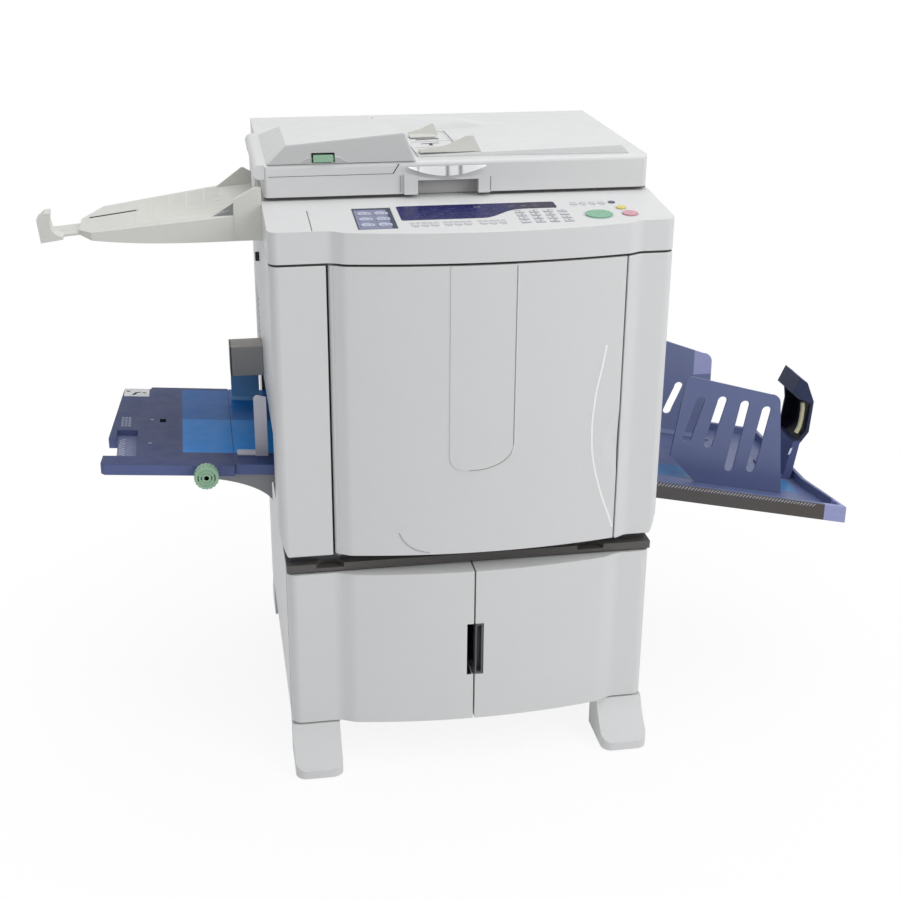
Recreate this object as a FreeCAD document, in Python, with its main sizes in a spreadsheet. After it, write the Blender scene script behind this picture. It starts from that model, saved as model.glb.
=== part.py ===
import math
import os

import FreeCAD, Part, Sketcher

from FreeCAD import Placement, Rotation, Vector

# A digital duplicator on its cabinet stand, in millimetres.
# +Z is up and the front faces -Y. The origin is on the floor under the middle of the
# overall width. Drawing places count from the middle of the body, a little to its left.

SIZES = {
    "body_offset": 27.5,       # overall middle to body middle, trays included
    # body plan
    "body_width": 670,
    "body_face": 302,          # origin to the flat face of the front pillars
    "body_back": 335,
    "body_corner": 17,
    "bow_centre": 20,
    "bow_half": 230,
    "bow_rise": 20.4,
    "crease_width": 32,
    "crease_depth": 12.6,
    "cover_wall": 3,
    "back_return": 34,         # how far the rear cover wraps round the sides
    # heights
    "cover_foot": 417,
    "tuck_start": 480,         # below this the sides curve inwards
    "tuck_in": 13,
    "panel_foot": 935,
    "cover_top": 931,          # a dark seam up to the panel foot
    "lip_inset": 2,            # the panel's lip is set back and rests on the covers
    "lip_wall": 3,
    "panel_front_top": 987,
    "deck_top": 1000,
    "panel_depth": 161,        # pillar face to the front of the lid
    # stand
    "stand_width": 650,
    "stand_face": 303,
    "stand_back": 320,
    "stand_corner": 18,
    "stand_bow_centre": 13,
    "stand_bow_half": 219,
    "stand_bow_rise": 19,
    "stand_crease_width": 40,
    "stand_crease_depth": 14,
    "stand_foot": 80,
    "stand_top": 386,
    "stand_sheet": 2,
    "door_foot_gap": 4,
    "door_top_gap": 4,
    "door_centre_gap": 3,
    "stand_door_back": 283,
    "stand_jamb": 264,
    "stand_post_radius": 13.5,
    "ledge_thick": 14,
    "ledge_face": 300,
    "ledge_recess_radius": 24,
    "ledge_recess_depth": 8,
    "ledge_recess_left": -250,
    "ledge_recess_right": 215,
    "shelf_height": 232,
    # skids
    "skid_inner": 240,
    "toe_reach": 362,
    "toe_lip": 16,
    "toe_length": 104,
    "toe_corner": 20,
    "beam_height": 30,
    "beam_inset": 12,
    "pad_height": 3,
    "pad_radius": 20,
    "pad_inset": 30,
    # grip of the stand doors
    "grip_left": 12,
    "grip_right": 15,
    "grip_low": 177,
    "grip_high": 277,
    "grip_depth": 20,
    "grip_wall": 2.5,
    "grip_gap": 1.5,
    # frame
    "pan_side": 318,
    "pan_front": 282,
    "pan_wall": 3,
    "pan_height": 14,
    "plate_thick": 4,
    "plate_half": 300,
    "front_plate": 262,
    "rear_plate": 240,
    "bar_radius": 6,
    "bar_side": 250,
    # front cover
    "door_left": 240,
    "door_right": 250,
    "door_low": 419,
    "door_high": 931,
    "tongue_left": -47,
    "tongue_right": 61,
    "tongue_low": 575,
    "tongue_proud": 1.4,
    "door_depth": 286,
    "door_gap": 3,
    "pillar_return": 268,
    "scoop_x": 357,
    "scoop_height": 600,
    "scoop_circle": 122,
    "scoop_radius": 400,
    "front_hinge_x": 233,
    "front_hinge_y": 296,
    "hinge_nose": 6.6,
    "pin_radius": 3,
    "pin_clearance": 0.06,
    "pin_head": 5,
    "pin_head_thick": 1,
    "pin_sink": 7,             # how far the upper stand pins go into the ledge
    "ear_width": 30,
    "ear_thick": 2,
    # openings of the side covers
    "feed_half": 215,
    "feed_low": 424,
    "feed_high": 612,
    "exit_half": 188,
    "exit_low": 482,
    "exit_high": 610,
    # control panel
    "panel_skin": 3,
    "key_gap": 0.4,
    "key_rise": 2.2,
    "key_body": 6,
    "display_left": -116,
    "display_split": 54,
    "display_right": 152,
    "display_low": 39,
    "display_middle": 80,
    "display_high": 113,
    "display_recess": 1.6,
    "display_radius": 5,
    "mode_left": -191,
    "mode_right": -126,
    "mode_low": 1,
    "mode_high": 110,
    "mode_recess": 1,
    "mode_key_width": 22,
    "mode_key_depth": 11,
    "mode_pitch_x": 28,
    "mode_pitch_y": 29,
    "number_left": 84,
    "number_low": 12,
    "number_key_width": 15,
    "number_key_depth": 9,
    "number_pitch_x": 24,
    "number_pitch_y": 17,
    "function_low": 12,
    "function_key_width": 12,
    "function_key_depth": 7,
    "function_pitch_x": 16,
    "start_u": 212,
    "start_v": 36,
    "start_radius": 22.5,
    "start_short": 0.9,
    "stop_u": 265,
    "stop_v": 35,
    "stop_radius": 12.5,
    "test_u": 258,
    "test_v": 67,
    "test_radius": 8,
    "reset_u": 250,
    "reset_v": 98,
    "reset_radius": 6,
    "panel_seam": -264,
    # scanner
    "glass_half": 216,
    "glass_front": 112,
    "glass_rear": 192,
    "glass_thick": 4,
    "carriage_x": -205,
    "carriage_width": 60,
    "carriage_low": 946,
    "carriage_high": 988,
    "rail_height": 7.5,
    "rail_width": 12,
    "rail_front": 100,
    "rail_rear": 280,
    # lid
    "lid_half": 330,
    "lid_rear": 318,
    "lid_foot": 1004,
    "lid_top": 1061,
    "lid_skin": 9,
    "lid_rim": 23,
    "lid_corner": 8,
    "lid_pad_gap": 1,
    "lid_pad_thick": 7,
    "rib_thick": 3,
    "cap_left": 347,
    "cap_front": 141,
    "cap_back": 148,
    "cap_low": 1037,
    "cap_round": 11,
    "exit_slot_low": 1042,
    "exit_slot_high": 1051,
    "exit_slot_half": 106,
    "lid_pivot_y": 327,
    "lid_pivot_z": 1008,
    "lid_pivot_x": 210,
    "knuckle_width": 24,
    "knuckle_radius": 7,
    "knuckle_gap": 0.5,
    "handle_left": 95,
    "handle_right": 52,
    "handle_low": 1006,
    "handle_high": 1052,
    "handle_proud": 8,
    "finger_left": 72,
    "finger_right": 32,
    "finger_low": 1005,
    "finger_high": 1030,
    "finger_deep": 18,
    # feeder
    "hump_left": 324,            # the foot of the left slope
    "hump_right": 72,            # the foot of the right slope, at the front
    "hump_front": 141,
    "hump_back": 140,            # the foot of the rear slope, at the left
    "hump_crown_left": 290,
    "hump_crown_right": 88,
    "hump_crown_front": 120,
    "hump_crown_back": 50,
    "hump_corner_x": 124,        # the rear right corner of the crown
    "hump_corner_y": 37,
    "hump_corner_z": 1102.5,
    "hump_left_top": 1091,
    "hump_right_top": 1106,
    "hump_skin": 3,
    "hump_round": 6,
    "hump_inner_round": 4,
    "hump_seat": 0.4,
    "inlet_half": 84,
    "inlet_inner": 150,
    "inlet_outer": 60,
    "inlet_low": 1064.6,
    "inlet_high": 1074,
    "feed_roller_x": -170,
    "feed_roller_y": -26,
    "feed_roller_z": 1078,
    "feed_roller_radius": 11,
    "feed_roller_half": 84,
    "feed_roller_step": 56,
    "feed_roller_width": 28,
    "roller_shaft": 4,
    "lever_left": 246,
    "lever_right": 213,
    "lever_low": 1064,
    "lever_high": 1074,
    "lever_mound_left": 272,
    "lever_mound_right": 187,
    "lever_mound_slope": 16,
    "lever_mound_top": 1071,
    "lever_pin_z": 1066.6,
    "lever_pivot_y": 131,
    "lever_pin": 2,
    "lever_pin_reach": 7,
    # document tray on the lid
    "rest_left": -66,
    "rest_right": 302,
    "rest_front": 122,
    "rest_back": 148,
    "rest_thick": 3,
    "rest_rise": 14,
    "rest_slope_end": 288,
    "wall_left": 111,
    "wall_right": 186,
    "wall_front": 104,
    "wall_crown": 150,
    "wall_back": 172,
    "wall_height": 22,
    "wall_bend": 43,             # the wall's top begins to fall here
    "wall_bend_height": 17.5,
    "wall_toe": 119,
    "wall_toe_height": 3.5,
    "guide_front_y": 105,
    "guide_rear_y": 62,
    "guide_left": -66,
    "guide_right": 44,
    "guide_peak_x": 30,
    "guide_peak": 34,
    "rear_guide_left": 58,
    "rear_guide_right": 4,
    "rear_guide_peak_x": 12,
    "rear_guide_peak": 26,
    "guide_thick": 3,
    "guide_base": 26,
    "guide_gap": 0.4,
    # original tray, upper left
    "original_seat": 6,          # the tray's inner end, clear of the side cover
    "original_outer": 636,
    "original_inner_top": 983,
    "original_outer_top": 958,
    "original_front": 150,
    "original_inner_foot": 938,
    "original_outer_foot": 950,
    "original_rear_inner": 98,
    "original_rear_outer": 37,
    "original_outer_front": 118,
    "original_skin": 3,
    "original_bracket": 46,
    "original_bracket_top": 1026,
    "original_bracket_thick": 12,
    "original_bar_back": 90,
    "original_bar_low": 940,
    "original_bar_high": 974,
    "stop_bar_width": 66,
    "stop_bar_y": -122,
    "stop_out": 60,
    "stop_root": 76,
    "stop_blade": 26,
    "stop_height": 44,
    # paper feed, lower left
    "fold_x": 402,
    "feed_outer": 630,
    "feed_front": 200,
    "feed_rear": 195,
    "feed_top_inner": 551,
    "feed_tilt": 4.4,
    "feed_thick": 19,
    "feed_skin": 4,
    "table_inner": 296,
    "table_front": 192,
    "table_gap": 1,
    "grip_cut_front": 158,
    "grip_cut_back": 78,
    "grip_cut_depth": 24,
    "grip_cup_back": 36,
    "grip_cup_width": 36,
    "grip_cup_depth": 11,
    "arm_y": 176,
    "arm_width": 14,
    "arm_depth": 18,
    "arm_reach": 474,
    "arm_drop": 52,
    "arm_gap": 0.3,
    "yoke_x": 288,
    "yoke_thick": 5,
    "yoke_height": 46,
    "lift_rod_x": 278,
    "lift_rod_y": 120,
    "lift_rod_top": 640,
    "lift_boss": 9,
    "dial_x": 452,
    "dial_depth": 11.8,          # the tray's top to the dial's axis
    "dial_radius": 21,
    "dial_length": 18,
    "dial_gap": 9,               # clear of the tray at full side shift
    "dial_shaft": 4,
    "dial_boss": 9,
    "dial_boss_top": 545.6,      # the bearing is open at its top, clear of the tray
    "feed_guide_y": 150,
    "feed_guide_left": 396,
    "feed_guide_right": 342,
    "feed_guide_post": 364,      # the left edge of the tall front guide
    "feed_guide_front_rise": 111,
    "feed_guide_rear_rise": 45,
    "feed_guide_thick": 3,
    "feed_guide_foot": 22,
    "head_left": 397,
    "head_front": 70,
    "head_rear": 122,
    "head_low": 620,
    "head_high": 678,
    # receiving tray, right
    "catch_outer": 745,
    "catch_short": 712,         # the outer end behind the slant
    "catch_slant": 125,
    "catch_inner_top": 475.6,
    "catch_tilt": 11.8,
    "catch_thick": 33,
    "catch_half": 200,
    "catch_rim": 9,
    "catch_floor": 18,
    "catch_wall": 20,
    "fence_front_y": 122,
    "fence_rear_y": 152,
    "fence_thick": 3.5,
    "fence_left": 412,
    "fence_right": 641,
    "rear_fence_right": 586,
    "fence_top_left": 435,
    "fence_high": 643,
    "fence_low": 597,
    "fence_root": 488,
    "fence_slot": 9,
    "fence_foot": 26,
    "stopper_x": 699,
    "stopper_half": 40,
    "stopper_top": 597,
    # print unit
    "drum_x": 15,
    "drum_z": 655,
    "drum_radius": 90,
    "drum_half": 170,
    "drum_skin": 3,
    "drum_port": 98,
    "hub_radius": 60,
    "hub_bore": 38.4,
    "hub_length": 96,
    "carrier_radius": 106,
    "carrier_thick": 6,
    "cartridge_radius": 38,
    "cartridge_length": 300,
    "cartridge_cap": 46,
    "stub_radius": 10,
    "gear_module": 2,
    "drum_teeth": 84,
    "pinion_teeth": 21,
    "gear_width": 12,
    "gear_play": 0.5,
    "pinion_turn": -35,
    "run_gap": 0.05,
    "press_radius": 24,
    "press_half": 160,
    "press_shaft": 6,
    "nip_gap": 0.5,
    "timing_x": -150,
    "timing_z": 542,
    "timing_radius": 11,
    "timing_half": 150,
    "pickup_x": -262,
    "pickup_z": 584,
    "pickup_radius": 20,
    "pickup_half": 32,
    "small_shaft": 5,
    "roll_x": -215,
    "roll_z": 850,
    "roll_radius": 42,
    "roll_half": 155,
    "head_bar_x": -150,
    "head_bar_width": 40,
    "head_bar_low": 800,
    "head_bar_height": 24,
    "seat_gap": 0.3,
    "waste_left": 128,
    "waste_width": 160,
    "waste_low": 745,
    "waste_height": 150,
    "waste_wall": 3,
    "exit_left": 120,
    "exit_right": 296,
    "exit_top": 520,
    "exit_height": 24,
    "motor_radius": 42,
    "motor_length": 58,
    "board_left": -250,
    "board_width": 210,
    "board_low": 650,
    "board_height": 240,
    "board_thick": 2,
    "supply_left": -270,
    "supply_width": 150,
    "supply_low": 425,
    "supply_height": 100,
    "supply_depth": 60,
    "inlet_width": 28,
    "inlet_height": 20,
    "switch_y": 250,
    "switch_z": 540,
    "switch_radius": 10,
    "switch_length": 24,
}

doc = FreeCAD.newDocument("Duplicator")


class Size:
    """A number with the sheet expression that gives it."""

    def __init__(self, value, text):
        self.value = float(value)
        self.text = text

    def __float__(self):
        return self.value

    def __add__(self, other):
        return joined(self, "+", other)

    def __radd__(self, other):
        return joined(other, "+", self)

    def __sub__(self, other):
        return joined(self, "-", other)

    def __rsub__(self, other):
        return joined(other, "-", self)

    def __mul__(self, other):
        return joined(self, "*", other)

    def __rmul__(self, other):
        return joined(other, "*", self)

    def __truediv__(self, other):
        return joined(self, "/", other)

    def __neg__(self):
        return joined(0, "-", self)


def as_text(value):
    return value.text if isinstance(value, Size) else "%.6f" % value


def joined(a, sign, b):
    """The size that a sum, difference, product or quotient of two sizes gives."""
    x, y = float(a), float(b)
    value = {"+": x + y, "-": x - y, "*": x * y, "/": x / y if y else 0}[sign]
    return Size(value, "(%s %s %s)" % (as_text(a), sign, as_text(b)))


class Sheet:
    """The driving sizes, each an aliased cell of the document's spreadsheet."""

    def __init__(self, sizes):
        cells = doc.addObject("Spreadsheet::Sheet", "Sizes")
        for row, (name, value) in enumerate(sizes.items(), 1):
            cells.set("A%d" % row, name.replace("_", " "))
            cells.set("B%d" % row, str(value))
            cells.setAlias("B%d" % row, name)
        doc.recompute()
        for name in sizes:
            setattr(self, name, Size(cells.get(name), "Sizes." + name))


s = Sheet(SIZES)

# Places that several pieces share

side = s.body_width / 2
face = -s.body_face
pillar_left = -(s.bow_half - s.bow_centre) - s.crease_width
pillar_right = s.bow_centre + s.bow_half
lid_front = s.panel_depth - s.body_face
stand_side = s.stand_width / 2
ledge_top = s.stand_top + s.ledge_thick
pan_top = ledge_top + s.pan_wall
hinge_x = -s.front_hinge_x
hinge_y = -s.front_hinge_y
stand_pin_x = stand_side - s.stand_corner
stand_pin_y = s.stand_corner - s.stand_face
pin_hole = s.pin_radius + s.pin_clearance
front_plate_back = s.plate_thick - s.front_plate
rear_plate_back = s.rear_plate + s.plate_thick
slope = math.atan2(float(s.deck_top - s.panel_front_top), float(s.panel_depth))
subparts = []


def bind(obj, prop, value):
    """Set a property from a size's expression, or from a plain number."""
    if isinstance(value, Size):
        obj.setExpression(prop, value.text)
    elif prop.startswith("Placement"):
        obj.setExpression(prop, "%.6f" % value)
    else:
        setattr(obj, prop, value)


def place(obj, x, y, z):
    bind(obj, "Placement.Base.x", x)
    bind(obj, "Placement.Base.y", y)
    bind(obj, "Placement.Base.z", z)


def box(name, x, y, z):
    """A block between two places along each axis."""
    obj = doc.addObject("Part::Box", name)
    bind(obj, "Length", x[1] - x[0])
    bind(obj, "Width", y[1] - y[0])
    bind(obj, "Height", z[1] - z[0])
    place(obj, x[0], y[0], z[0])
    return obj


def rod(name, radius, x, y, z):
    """A cylinder along the axis whose place is given as a pair."""
    obj = doc.addObject("Part::Cylinder", name)
    places = [x, y, z]
    axis = [isinstance(p, tuple) for p in places].index(True)
    low, high = places[axis]
    bind(obj, "Radius", radius)
    bind(obj, "Height", high - low)
    turns = [Rotation(Vector(0, 1, 0), 90), Rotation(Vector(1, 0, 0), -90), Rotation()]
    obj.Placement = Placement(Vector(), turns[axis])
    places[axis] = low
    place(obj, *places)
    return obj


def fuse(name, *pieces):
    obj = doc.addObject("Part::MultiFuse", name)
    obj.Shapes = list(pieces)
    return obj


def cut(name, base, *tools):
    obj = doc.addObject("Part::Cut", name)
    obj.Base = base
    obj.Tool = tools[0] if len(tools) == 1 else fuse(name + "_cutters", *tools)
    return obj


def common(name, a, b):
    obj = doc.addObject("Part::Common", name)
    obj.Base = a
    obj.Tool = b
    return obj


def feature(name, shape):
    obj = doc.addObject("Part::Feature", name)
    obj.Shape = shape
    return obj


def keep(obj, label):
    """Name a finished sub-part and put it in its place about the overall middle."""
    part = doc.addObject("Part::Compound", "node_" + label)
    part.Links = [obj]
    part.Label = label
    bind(part, "Placement.Base.x", -s.body_offset)
    subparts.append(part)
    return part


# slots of the two fences: across, upper and lower centre
FENCE_SLOTS = {"front": ((464, 594, 523), (507, 592, 508), (552, 581, 457), (596, 567, 452)),
               "rear": ((472, 523, 475), (516, 521, 471))}
SLOT_LEAN = 21

AXES = {"xy": (Vector(1, 0, 0), Vector(0, 1, 0), Vector(0, 0, 1)),
        "xz": (Vector(1, 0, 0), Vector(0, 0, 1), Vector(0, 1, 0)),
        "yz": (Vector(0, 1, 0), Vector(0, 0, 1), Vector(1, 0, 0))}


def prism(plane, span, start, *steps):
    """Extrude an outline of lines, arcs and curves drawn in a plane."""
    u, v, w = AXES[plane]
    low, high = float(span[0]), float(span[1])

    def at(p):
        return u * float(p[0]) + v * float(p[1]) + w * low

    edges = []
    here = at(start)
    for step in steps + (("line", start),):
        points = [at(p) for p in step[1:]]
        if here.distanceToPoint(points[-1]) < 1e-6:
            continue
        if step[0] == "line":
            edges.append(Part.makeLine(here, points[-1]))
        elif step[0] == "arc":
            edges.append(Part.Arc(here, points[0], points[1]).toShape())
        else:
            curve = Part.BezierCurve()
            curve.setPoles([here] + points)
            edges.append(curve.toShape())
        here = points[-1]
    return Part.Face(Part.Wire(edges)).extrude(w * (high - low))


def polygon(plane, span, *points):
    return prism(plane, span, points[0], *[("line", p) for p in points[1:]])


def block(x, y, z):
    low = [float(a[0]) for a in (x, y, z)]
    high = [float(a[1]) for a in (x, y, z)]
    return Part.makeBox(high[0] - low[0], high[1] - low[1], high[2] - low[2], Vector(*low))


def sketched(name, plane, span, *loops):
    """A PartDesign body: one pad of a fully dimensioned sketch.

    A loop is a list of corners, or ("circle", centre, radius)."""
    body = doc.addObject("PartDesign::Body", name)
    sketch = body.newObject("Sketcher::SketchObject", name + "_sketch")
    role = plane.upper() + "_Plane"
    origin = [f for f in body.Origin.OriginFeatures if f.Role == role][0]
    sketch.AttachmentSupport = [(origin, "")]
    sketch.MapMode = "FlatFace"
    for loop in loops:
        if loop[0] == "circle":
            draw_circle(sketch, loop[1], loop[2])
        else:
            draw_corners(sketch, loop)
    pad = body.newObject("PartDesign::Pad", name + "_pad")
    pad.Profile = sketch
    bind(pad, "Length", span[1] - span[0])
    sketch.Visibility = False
    if plane == "xy":
        place(body, 0, 0, span[0])
    elif plane == "xz":
        place(body, 0, span[1], 0)
    else:
        place(body, span[0], 0, 0)
    return body


def fix(sketch, kind, geometry, point, value):
    """Dimension one point from the sketch's origin."""
    if abs(float(value)) < 1e-9:
        axis = -2 if kind == "DistanceX" else -1
        sketch.addConstraint(Sketcher.Constraint("PointOnObject", geometry, point, axis))
        return
    index = sketch.addConstraint(
        Sketcher.Constraint(kind, -1, 1, geometry, point, float(value)))
    if isinstance(value, Size):
        sketch.setExpression("Constraints[%d]" % index, value.text)


def draw_corners(sketch, corners):
    flat = [Vector(float(u), float(v), 0) for u, v in corners]
    lines = []
    for start, end in zip(flat, flat[1:] + flat[:1]):
        lines.append(sketch.addGeometry(Part.LineSegment(start, end), False))
    for line, after in zip(lines, lines[1:] + lines[:1]):
        sketch.addConstraint(Sketcher.Constraint("Coincident", line, 2, after, 1))
    for line, (u, v) in zip(lines, corners):
        fix(sketch, "DistanceX", line, 1, u)
        fix(sketch, "DistanceY", line, 1, v)


def draw_circle(sketch, centre, radius):
    ring = Part.Circle(Vector(float(centre[0]), float(centre[1]), 0), Vector(0, 0, 1), float(radius))
    index = sketch.addGeometry(ring, False)
    fix(sketch, "DistanceX", index, 3, centre[0])
    fix(sketch, "DistanceY", index, 3, centre[1])
    size = sketch.addConstraint(Sketcher.Constraint("Radius", index, float(radius)))
    if isinstance(radius, Size):
        sketch.setExpression("Constraints[%d]" % size, radius.text)


class Front:
    """The bowed front of the body or of the stand, seen from above."""

    def __init__(self, half, plane, corner, centre, bow_half, rise, crease, depth):
        self.half, self.plane, self.corner = float(half), float(plane), float(corner)
        self.centre, self.bow_half, self.rise = float(centre), float(bow_half), float(rise)
        self.crease, self.depth = float(crease), float(depth)

    def plan(self, inset, back, span):
        """The whole plan from the front back to a straight line, pulled in by a wall."""
        inset, half = float(inset), self.half - float(inset)
        radius = self.corner - inset
        y = self.plane + inset
        left = self.centre - self.bow_half
        right = self.centre + self.bow_half
        low = y - self.depth
        slant = self.bow_half / ((self.bow_half ** 2 + self.rise ** 2) / (2 * self.rise) - self.rise)
        pull = self.crease * 0.42
        round_off = radius * (1 - math.sqrt(0.5))
        return prism(
            "xy", span, (-half, float(back)),
            ("line", (-half, y + radius)),
            ("arc", (-half + round_off, y + round_off), (-half + radius, y)),
            ("line", (left - self.crease, y)),
            ("curve", (left - self.crease + pull, y), (left - pull, low + pull * slant), (left, low)),
            ("arc", (self.centre, low - self.rise), (right, low)),
            ("curve", (right + pull, low + pull * slant), (right + self.crease - pull, y),
             (right + self.crease, y)),
            ("line", (half - radius, y)),
            ("arc", (half - round_off, y + round_off), (half, y + radius)),
            ("line", (half, float(back))))


body_front = Front(side, face, s.body_corner, s.bow_centre, s.bow_half, s.bow_rise,
                   s.crease_width, s.crease_depth)
stand_front = Front(stand_side, -s.stand_face, s.stand_corner, s.stand_bow_centre,
                    s.stand_bow_half, s.stand_bow_rise, s.stand_crease_width,
                    s.stand_crease_depth)


def body_sides(inset, low, high):
    """The body seen from the front, its sides curving in towards the foot."""
    half = float(side - inset)
    drop = float(s.tuck_start - s.cover_foot)
    tuck = float(s.tuck_in)
    radius = (drop * drop + tuck * tuck) / (2 * tuck)
    centre = half - radius
    start, low, high = float(s.tuck_start), float(low), float(high)
    middle = (start + low) / 2

    def reach(z):
        return centre + math.sqrt(radius ** 2 - (start - z) ** 2)

    return prism("xz", (-400, 400), (half, high), ("line", (half, start)),
                 ("arc", (reach(middle), middle), (reach(low), low)),
                 ("line", (-reach(low), low)),
                 ("arc", (-reach(middle), middle), (-half, start)), ("line", (-half, high)))


def make_stand():
    """The cabinet, its skids, pads, ledge and two doors."""
    sheet = s.stand_sheet
    floor = (s.stand_foot, s.stand_foot + sheet)
    front = s.stand_jamb
    parts = []
    for name, sign in (("left", -1), ("right", 1)):
        outer = (-stand_side, sheet - stand_side) if sign < 0 else (stand_side - sheet, stand_side)
        flange = ((-stand_side, 28 - stand_side) if sign < 0 else (stand_side - 28, stand_side))
        web = ((24 - stand_side, 27 - stand_side) if sign < 0
               else (stand_side - 27, stand_side - 24))
        up = (s.stand_foot, s.stand_top)
        post = (s.stand_foot + 10, s.stand_top - 10)
        parts.append(box("stand_panel_" + name, outer, (-front, s.stand_back), up))
        parts.append(box("stand_flange_" + name, flange, (-front, sheet - front), post))
        parts.append(box("stand_web_" + name, web, (-front - 14, sheet - front), post))
        parts.append(rod("stand_post_" + name, s.stand_post_radius,
                         sign * stand_pin_x, stand_pin_y, post))
    inside = (sheet - stand_side, stand_side - sheet)
    parts.append(box("stand_back_wall", (-stand_side, stand_side), (s.stand_back - sheet, s.stand_back),
                     (s.stand_foot, s.stand_top)))
    parts.append(box("stand_floor", inside, (-s.stand_door_back - 7, s.stand_back), floor))
    parts.append(box("stand_shelf", inside, (-240, s.stand_back - sheet),
                     (s.shelf_height, s.shelf_height + sheet)))
    holes = [rod("stand_pin_hole_" + name, pin_hole, sign * stand_pin_x, stand_pin_y,
                 (s.stand_foot - 1, s.stand_foot + sheet + 1))
             for name, sign in (("left", -1), ("right", 1))]
    keep(cut("stand_cabinet_body", fuse("stand_sheets", *parts), *holes), "stand_cabinet")
    make_skids()
    make_ledge()
    for name, sign in (("left", -1), ("right", 1)):
        make_stand_door(name, sign)
    make_door_grip()


def make_skids():
    """Two floor skids, each a beam with a rounded toe at either end."""
    outer = stand_side
    lip = s.pad_height + s.toe_lip
    top = s.stand_foot
    reach, toe = s.toe_reach, s.toe_length
    shapes = []
    for sign in (-1, 1):
        low, high = sorted((float(sign * s.skid_inner), float(sign * outer)))
        for end in (-1, 1):
            tip = end * float(reach)
            back = end * float(reach - toe)
            knee = end * float(s.body_face)
            profile = prism("yz", (low, high), (back, s.pad_height), ("line", (tip, s.pad_height)),
                            ("line", (tip, lip)),
                            ("arc", (end * float(reach - 26), float(lip) + 17), (knee, top)),
                            ("line", (back, top)))
            corner = float(s.toe_corner)
            bend = corner * (1 - math.sqrt(0.5))
            near = tip - end * corner
            plan = prism("xy", (0, 100), (low, back), ("line", (low, near)),
                         ("arc", (low + bend, tip - end * bend), (low + corner, tip)),
                         ("line", (high - corner, tip)),
                         ("arc", (high - bend, tip - end * bend), (high, near)),
                         ("line", (high, back)))
            shapes.append(profile.common(plan))
        inset = float(s.beam_inset)
        run = float(reach - toe) + 2
        shapes.append(block((low + inset, high - inset), (-run, run), (top - s.beam_height, top)))
    left = shapes[0].fuse(shapes[1:3]).removeSplitter()
    right = shapes[3].fuse(shapes[4:6]).removeSplitter()
    keep(feature("skid_pair", Part.makeCompound(left.Solids + right.Solids)), "skids")
    middle = (s.skid_inner + outer) / 2
    pads = [rod("pad_%d" % i, s.pad_radius, sx * middle, sy * (reach - s.pad_inset), (0, s.pad_height))
            for i, (sx, sy) in enumerate(((-1, -1), (1, -1), (-1, 1), (1, 1)))]
    keep(fuse("pads", *pads), "foot_pads")


def make_ledge():
    plate = box("ledge_plate", (-stand_side, stand_side), (-s.ledge_face, s.stand_back),
                (s.stand_top, ledge_top))
    tools = []
    for name, x in (("left", s.ledge_recess_left), ("right", s.ledge_recess_right)):
        tools.append(rod("ledge_recess_" + name, s.ledge_recess_radius, x, -s.ledge_face,
                         (ledge_top - s.ledge_recess_depth, ledge_top + 1)))
    for name, sign in (("left", -1), ("right", 1)):
        tools.append(rod("ledge_pin_hole_" + name, pin_hole, sign * stand_pin_x, stand_pin_y,
                         (s.stand_top - 1, s.stand_top + s.pin_sink)))
    keep(cut("ledge_body", plate, *tools), "stand_ledge")


def make_stand_door(name, sign):
    """A bowed door shell that turns about a pin in its rounded outer corner."""
    wall = s.cover_wall
    low, high = s.stand_foot + s.door_foot_gap, s.stand_top - s.door_top_gap
    back = -s.stand_door_back
    outer = stand_front.plan(0, back, (low, high))
    inner = stand_front.plan(wall, back + 1, (low + wall, high - wall))
    middle = float(s.door_centre_gap) / 2
    far = 400
    half = (middle, far) if sign > 0 else (-far, -middle)
    inset = (middle + 3, far) if sign > 0 else (-far, -middle - 3)
    y = (-400, back + 1)
    shell = outer.common(block(half, y, (low, high)))
    shell = shell.cut(inner.common(block(inset, y, (low, high))))
    lugs = [Part.makeCylinder(12, float(wall), Vector(sign * float(stand_pin_x),
                                                      float(stand_pin_y), float(z)))
            for z in (low, high - wall)]
    shell = shell.fuse(lugs)
    hole = Part.makeCylinder(float(pin_hole), 400, Vector(sign * float(stand_pin_x),
                                                          float(stand_pin_y), 50))
    gap = s.grip_gap
    slot = block((-s.grip_left - gap, s.grip_right + gap), (-360, -s.stand_door_back + 5),
                 (s.grip_low - gap, s.grip_high + gap))
    keep(feature("stand_door_shell_" + name, shell.cut([hole, slot]).removeSplitter()),
         "stand_door_" + name)


def make_door_grip():
    """The recessed cup at the free edge of the right stand door."""
    wall, front = s.grip_wall, -s.stand_face - s.stand_crease_depth - s.stand_bow_rise
    y = (front + 0.6, front + s.grip_depth)
    x = (s.door_centre_gap / 2, s.grip_right)
    z = (s.grip_low, s.grip_high)
    cup = block(x, y, z).cut(block((x[0] + wall, x[1] - wall), (y[0] - 1, y[1] - wall),
                                   (z[0] + wall, z[1] - wall)))
    skin = s.cover_wall
    span = (z[0] + 8, z[1] - 8)
    tab = stand_front.plan(skin, -s.stand_door_back, span).cut(
        stand_front.plan(skin + wall, 1 - s.stand_door_back, span))
    tab = tab.common(block((x[1] - 1, x[1] + 14), (-400, -320), span))
    keep(feature("grip_cup", cup.fuse(tab).removeSplitter()), "door_grip")


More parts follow.
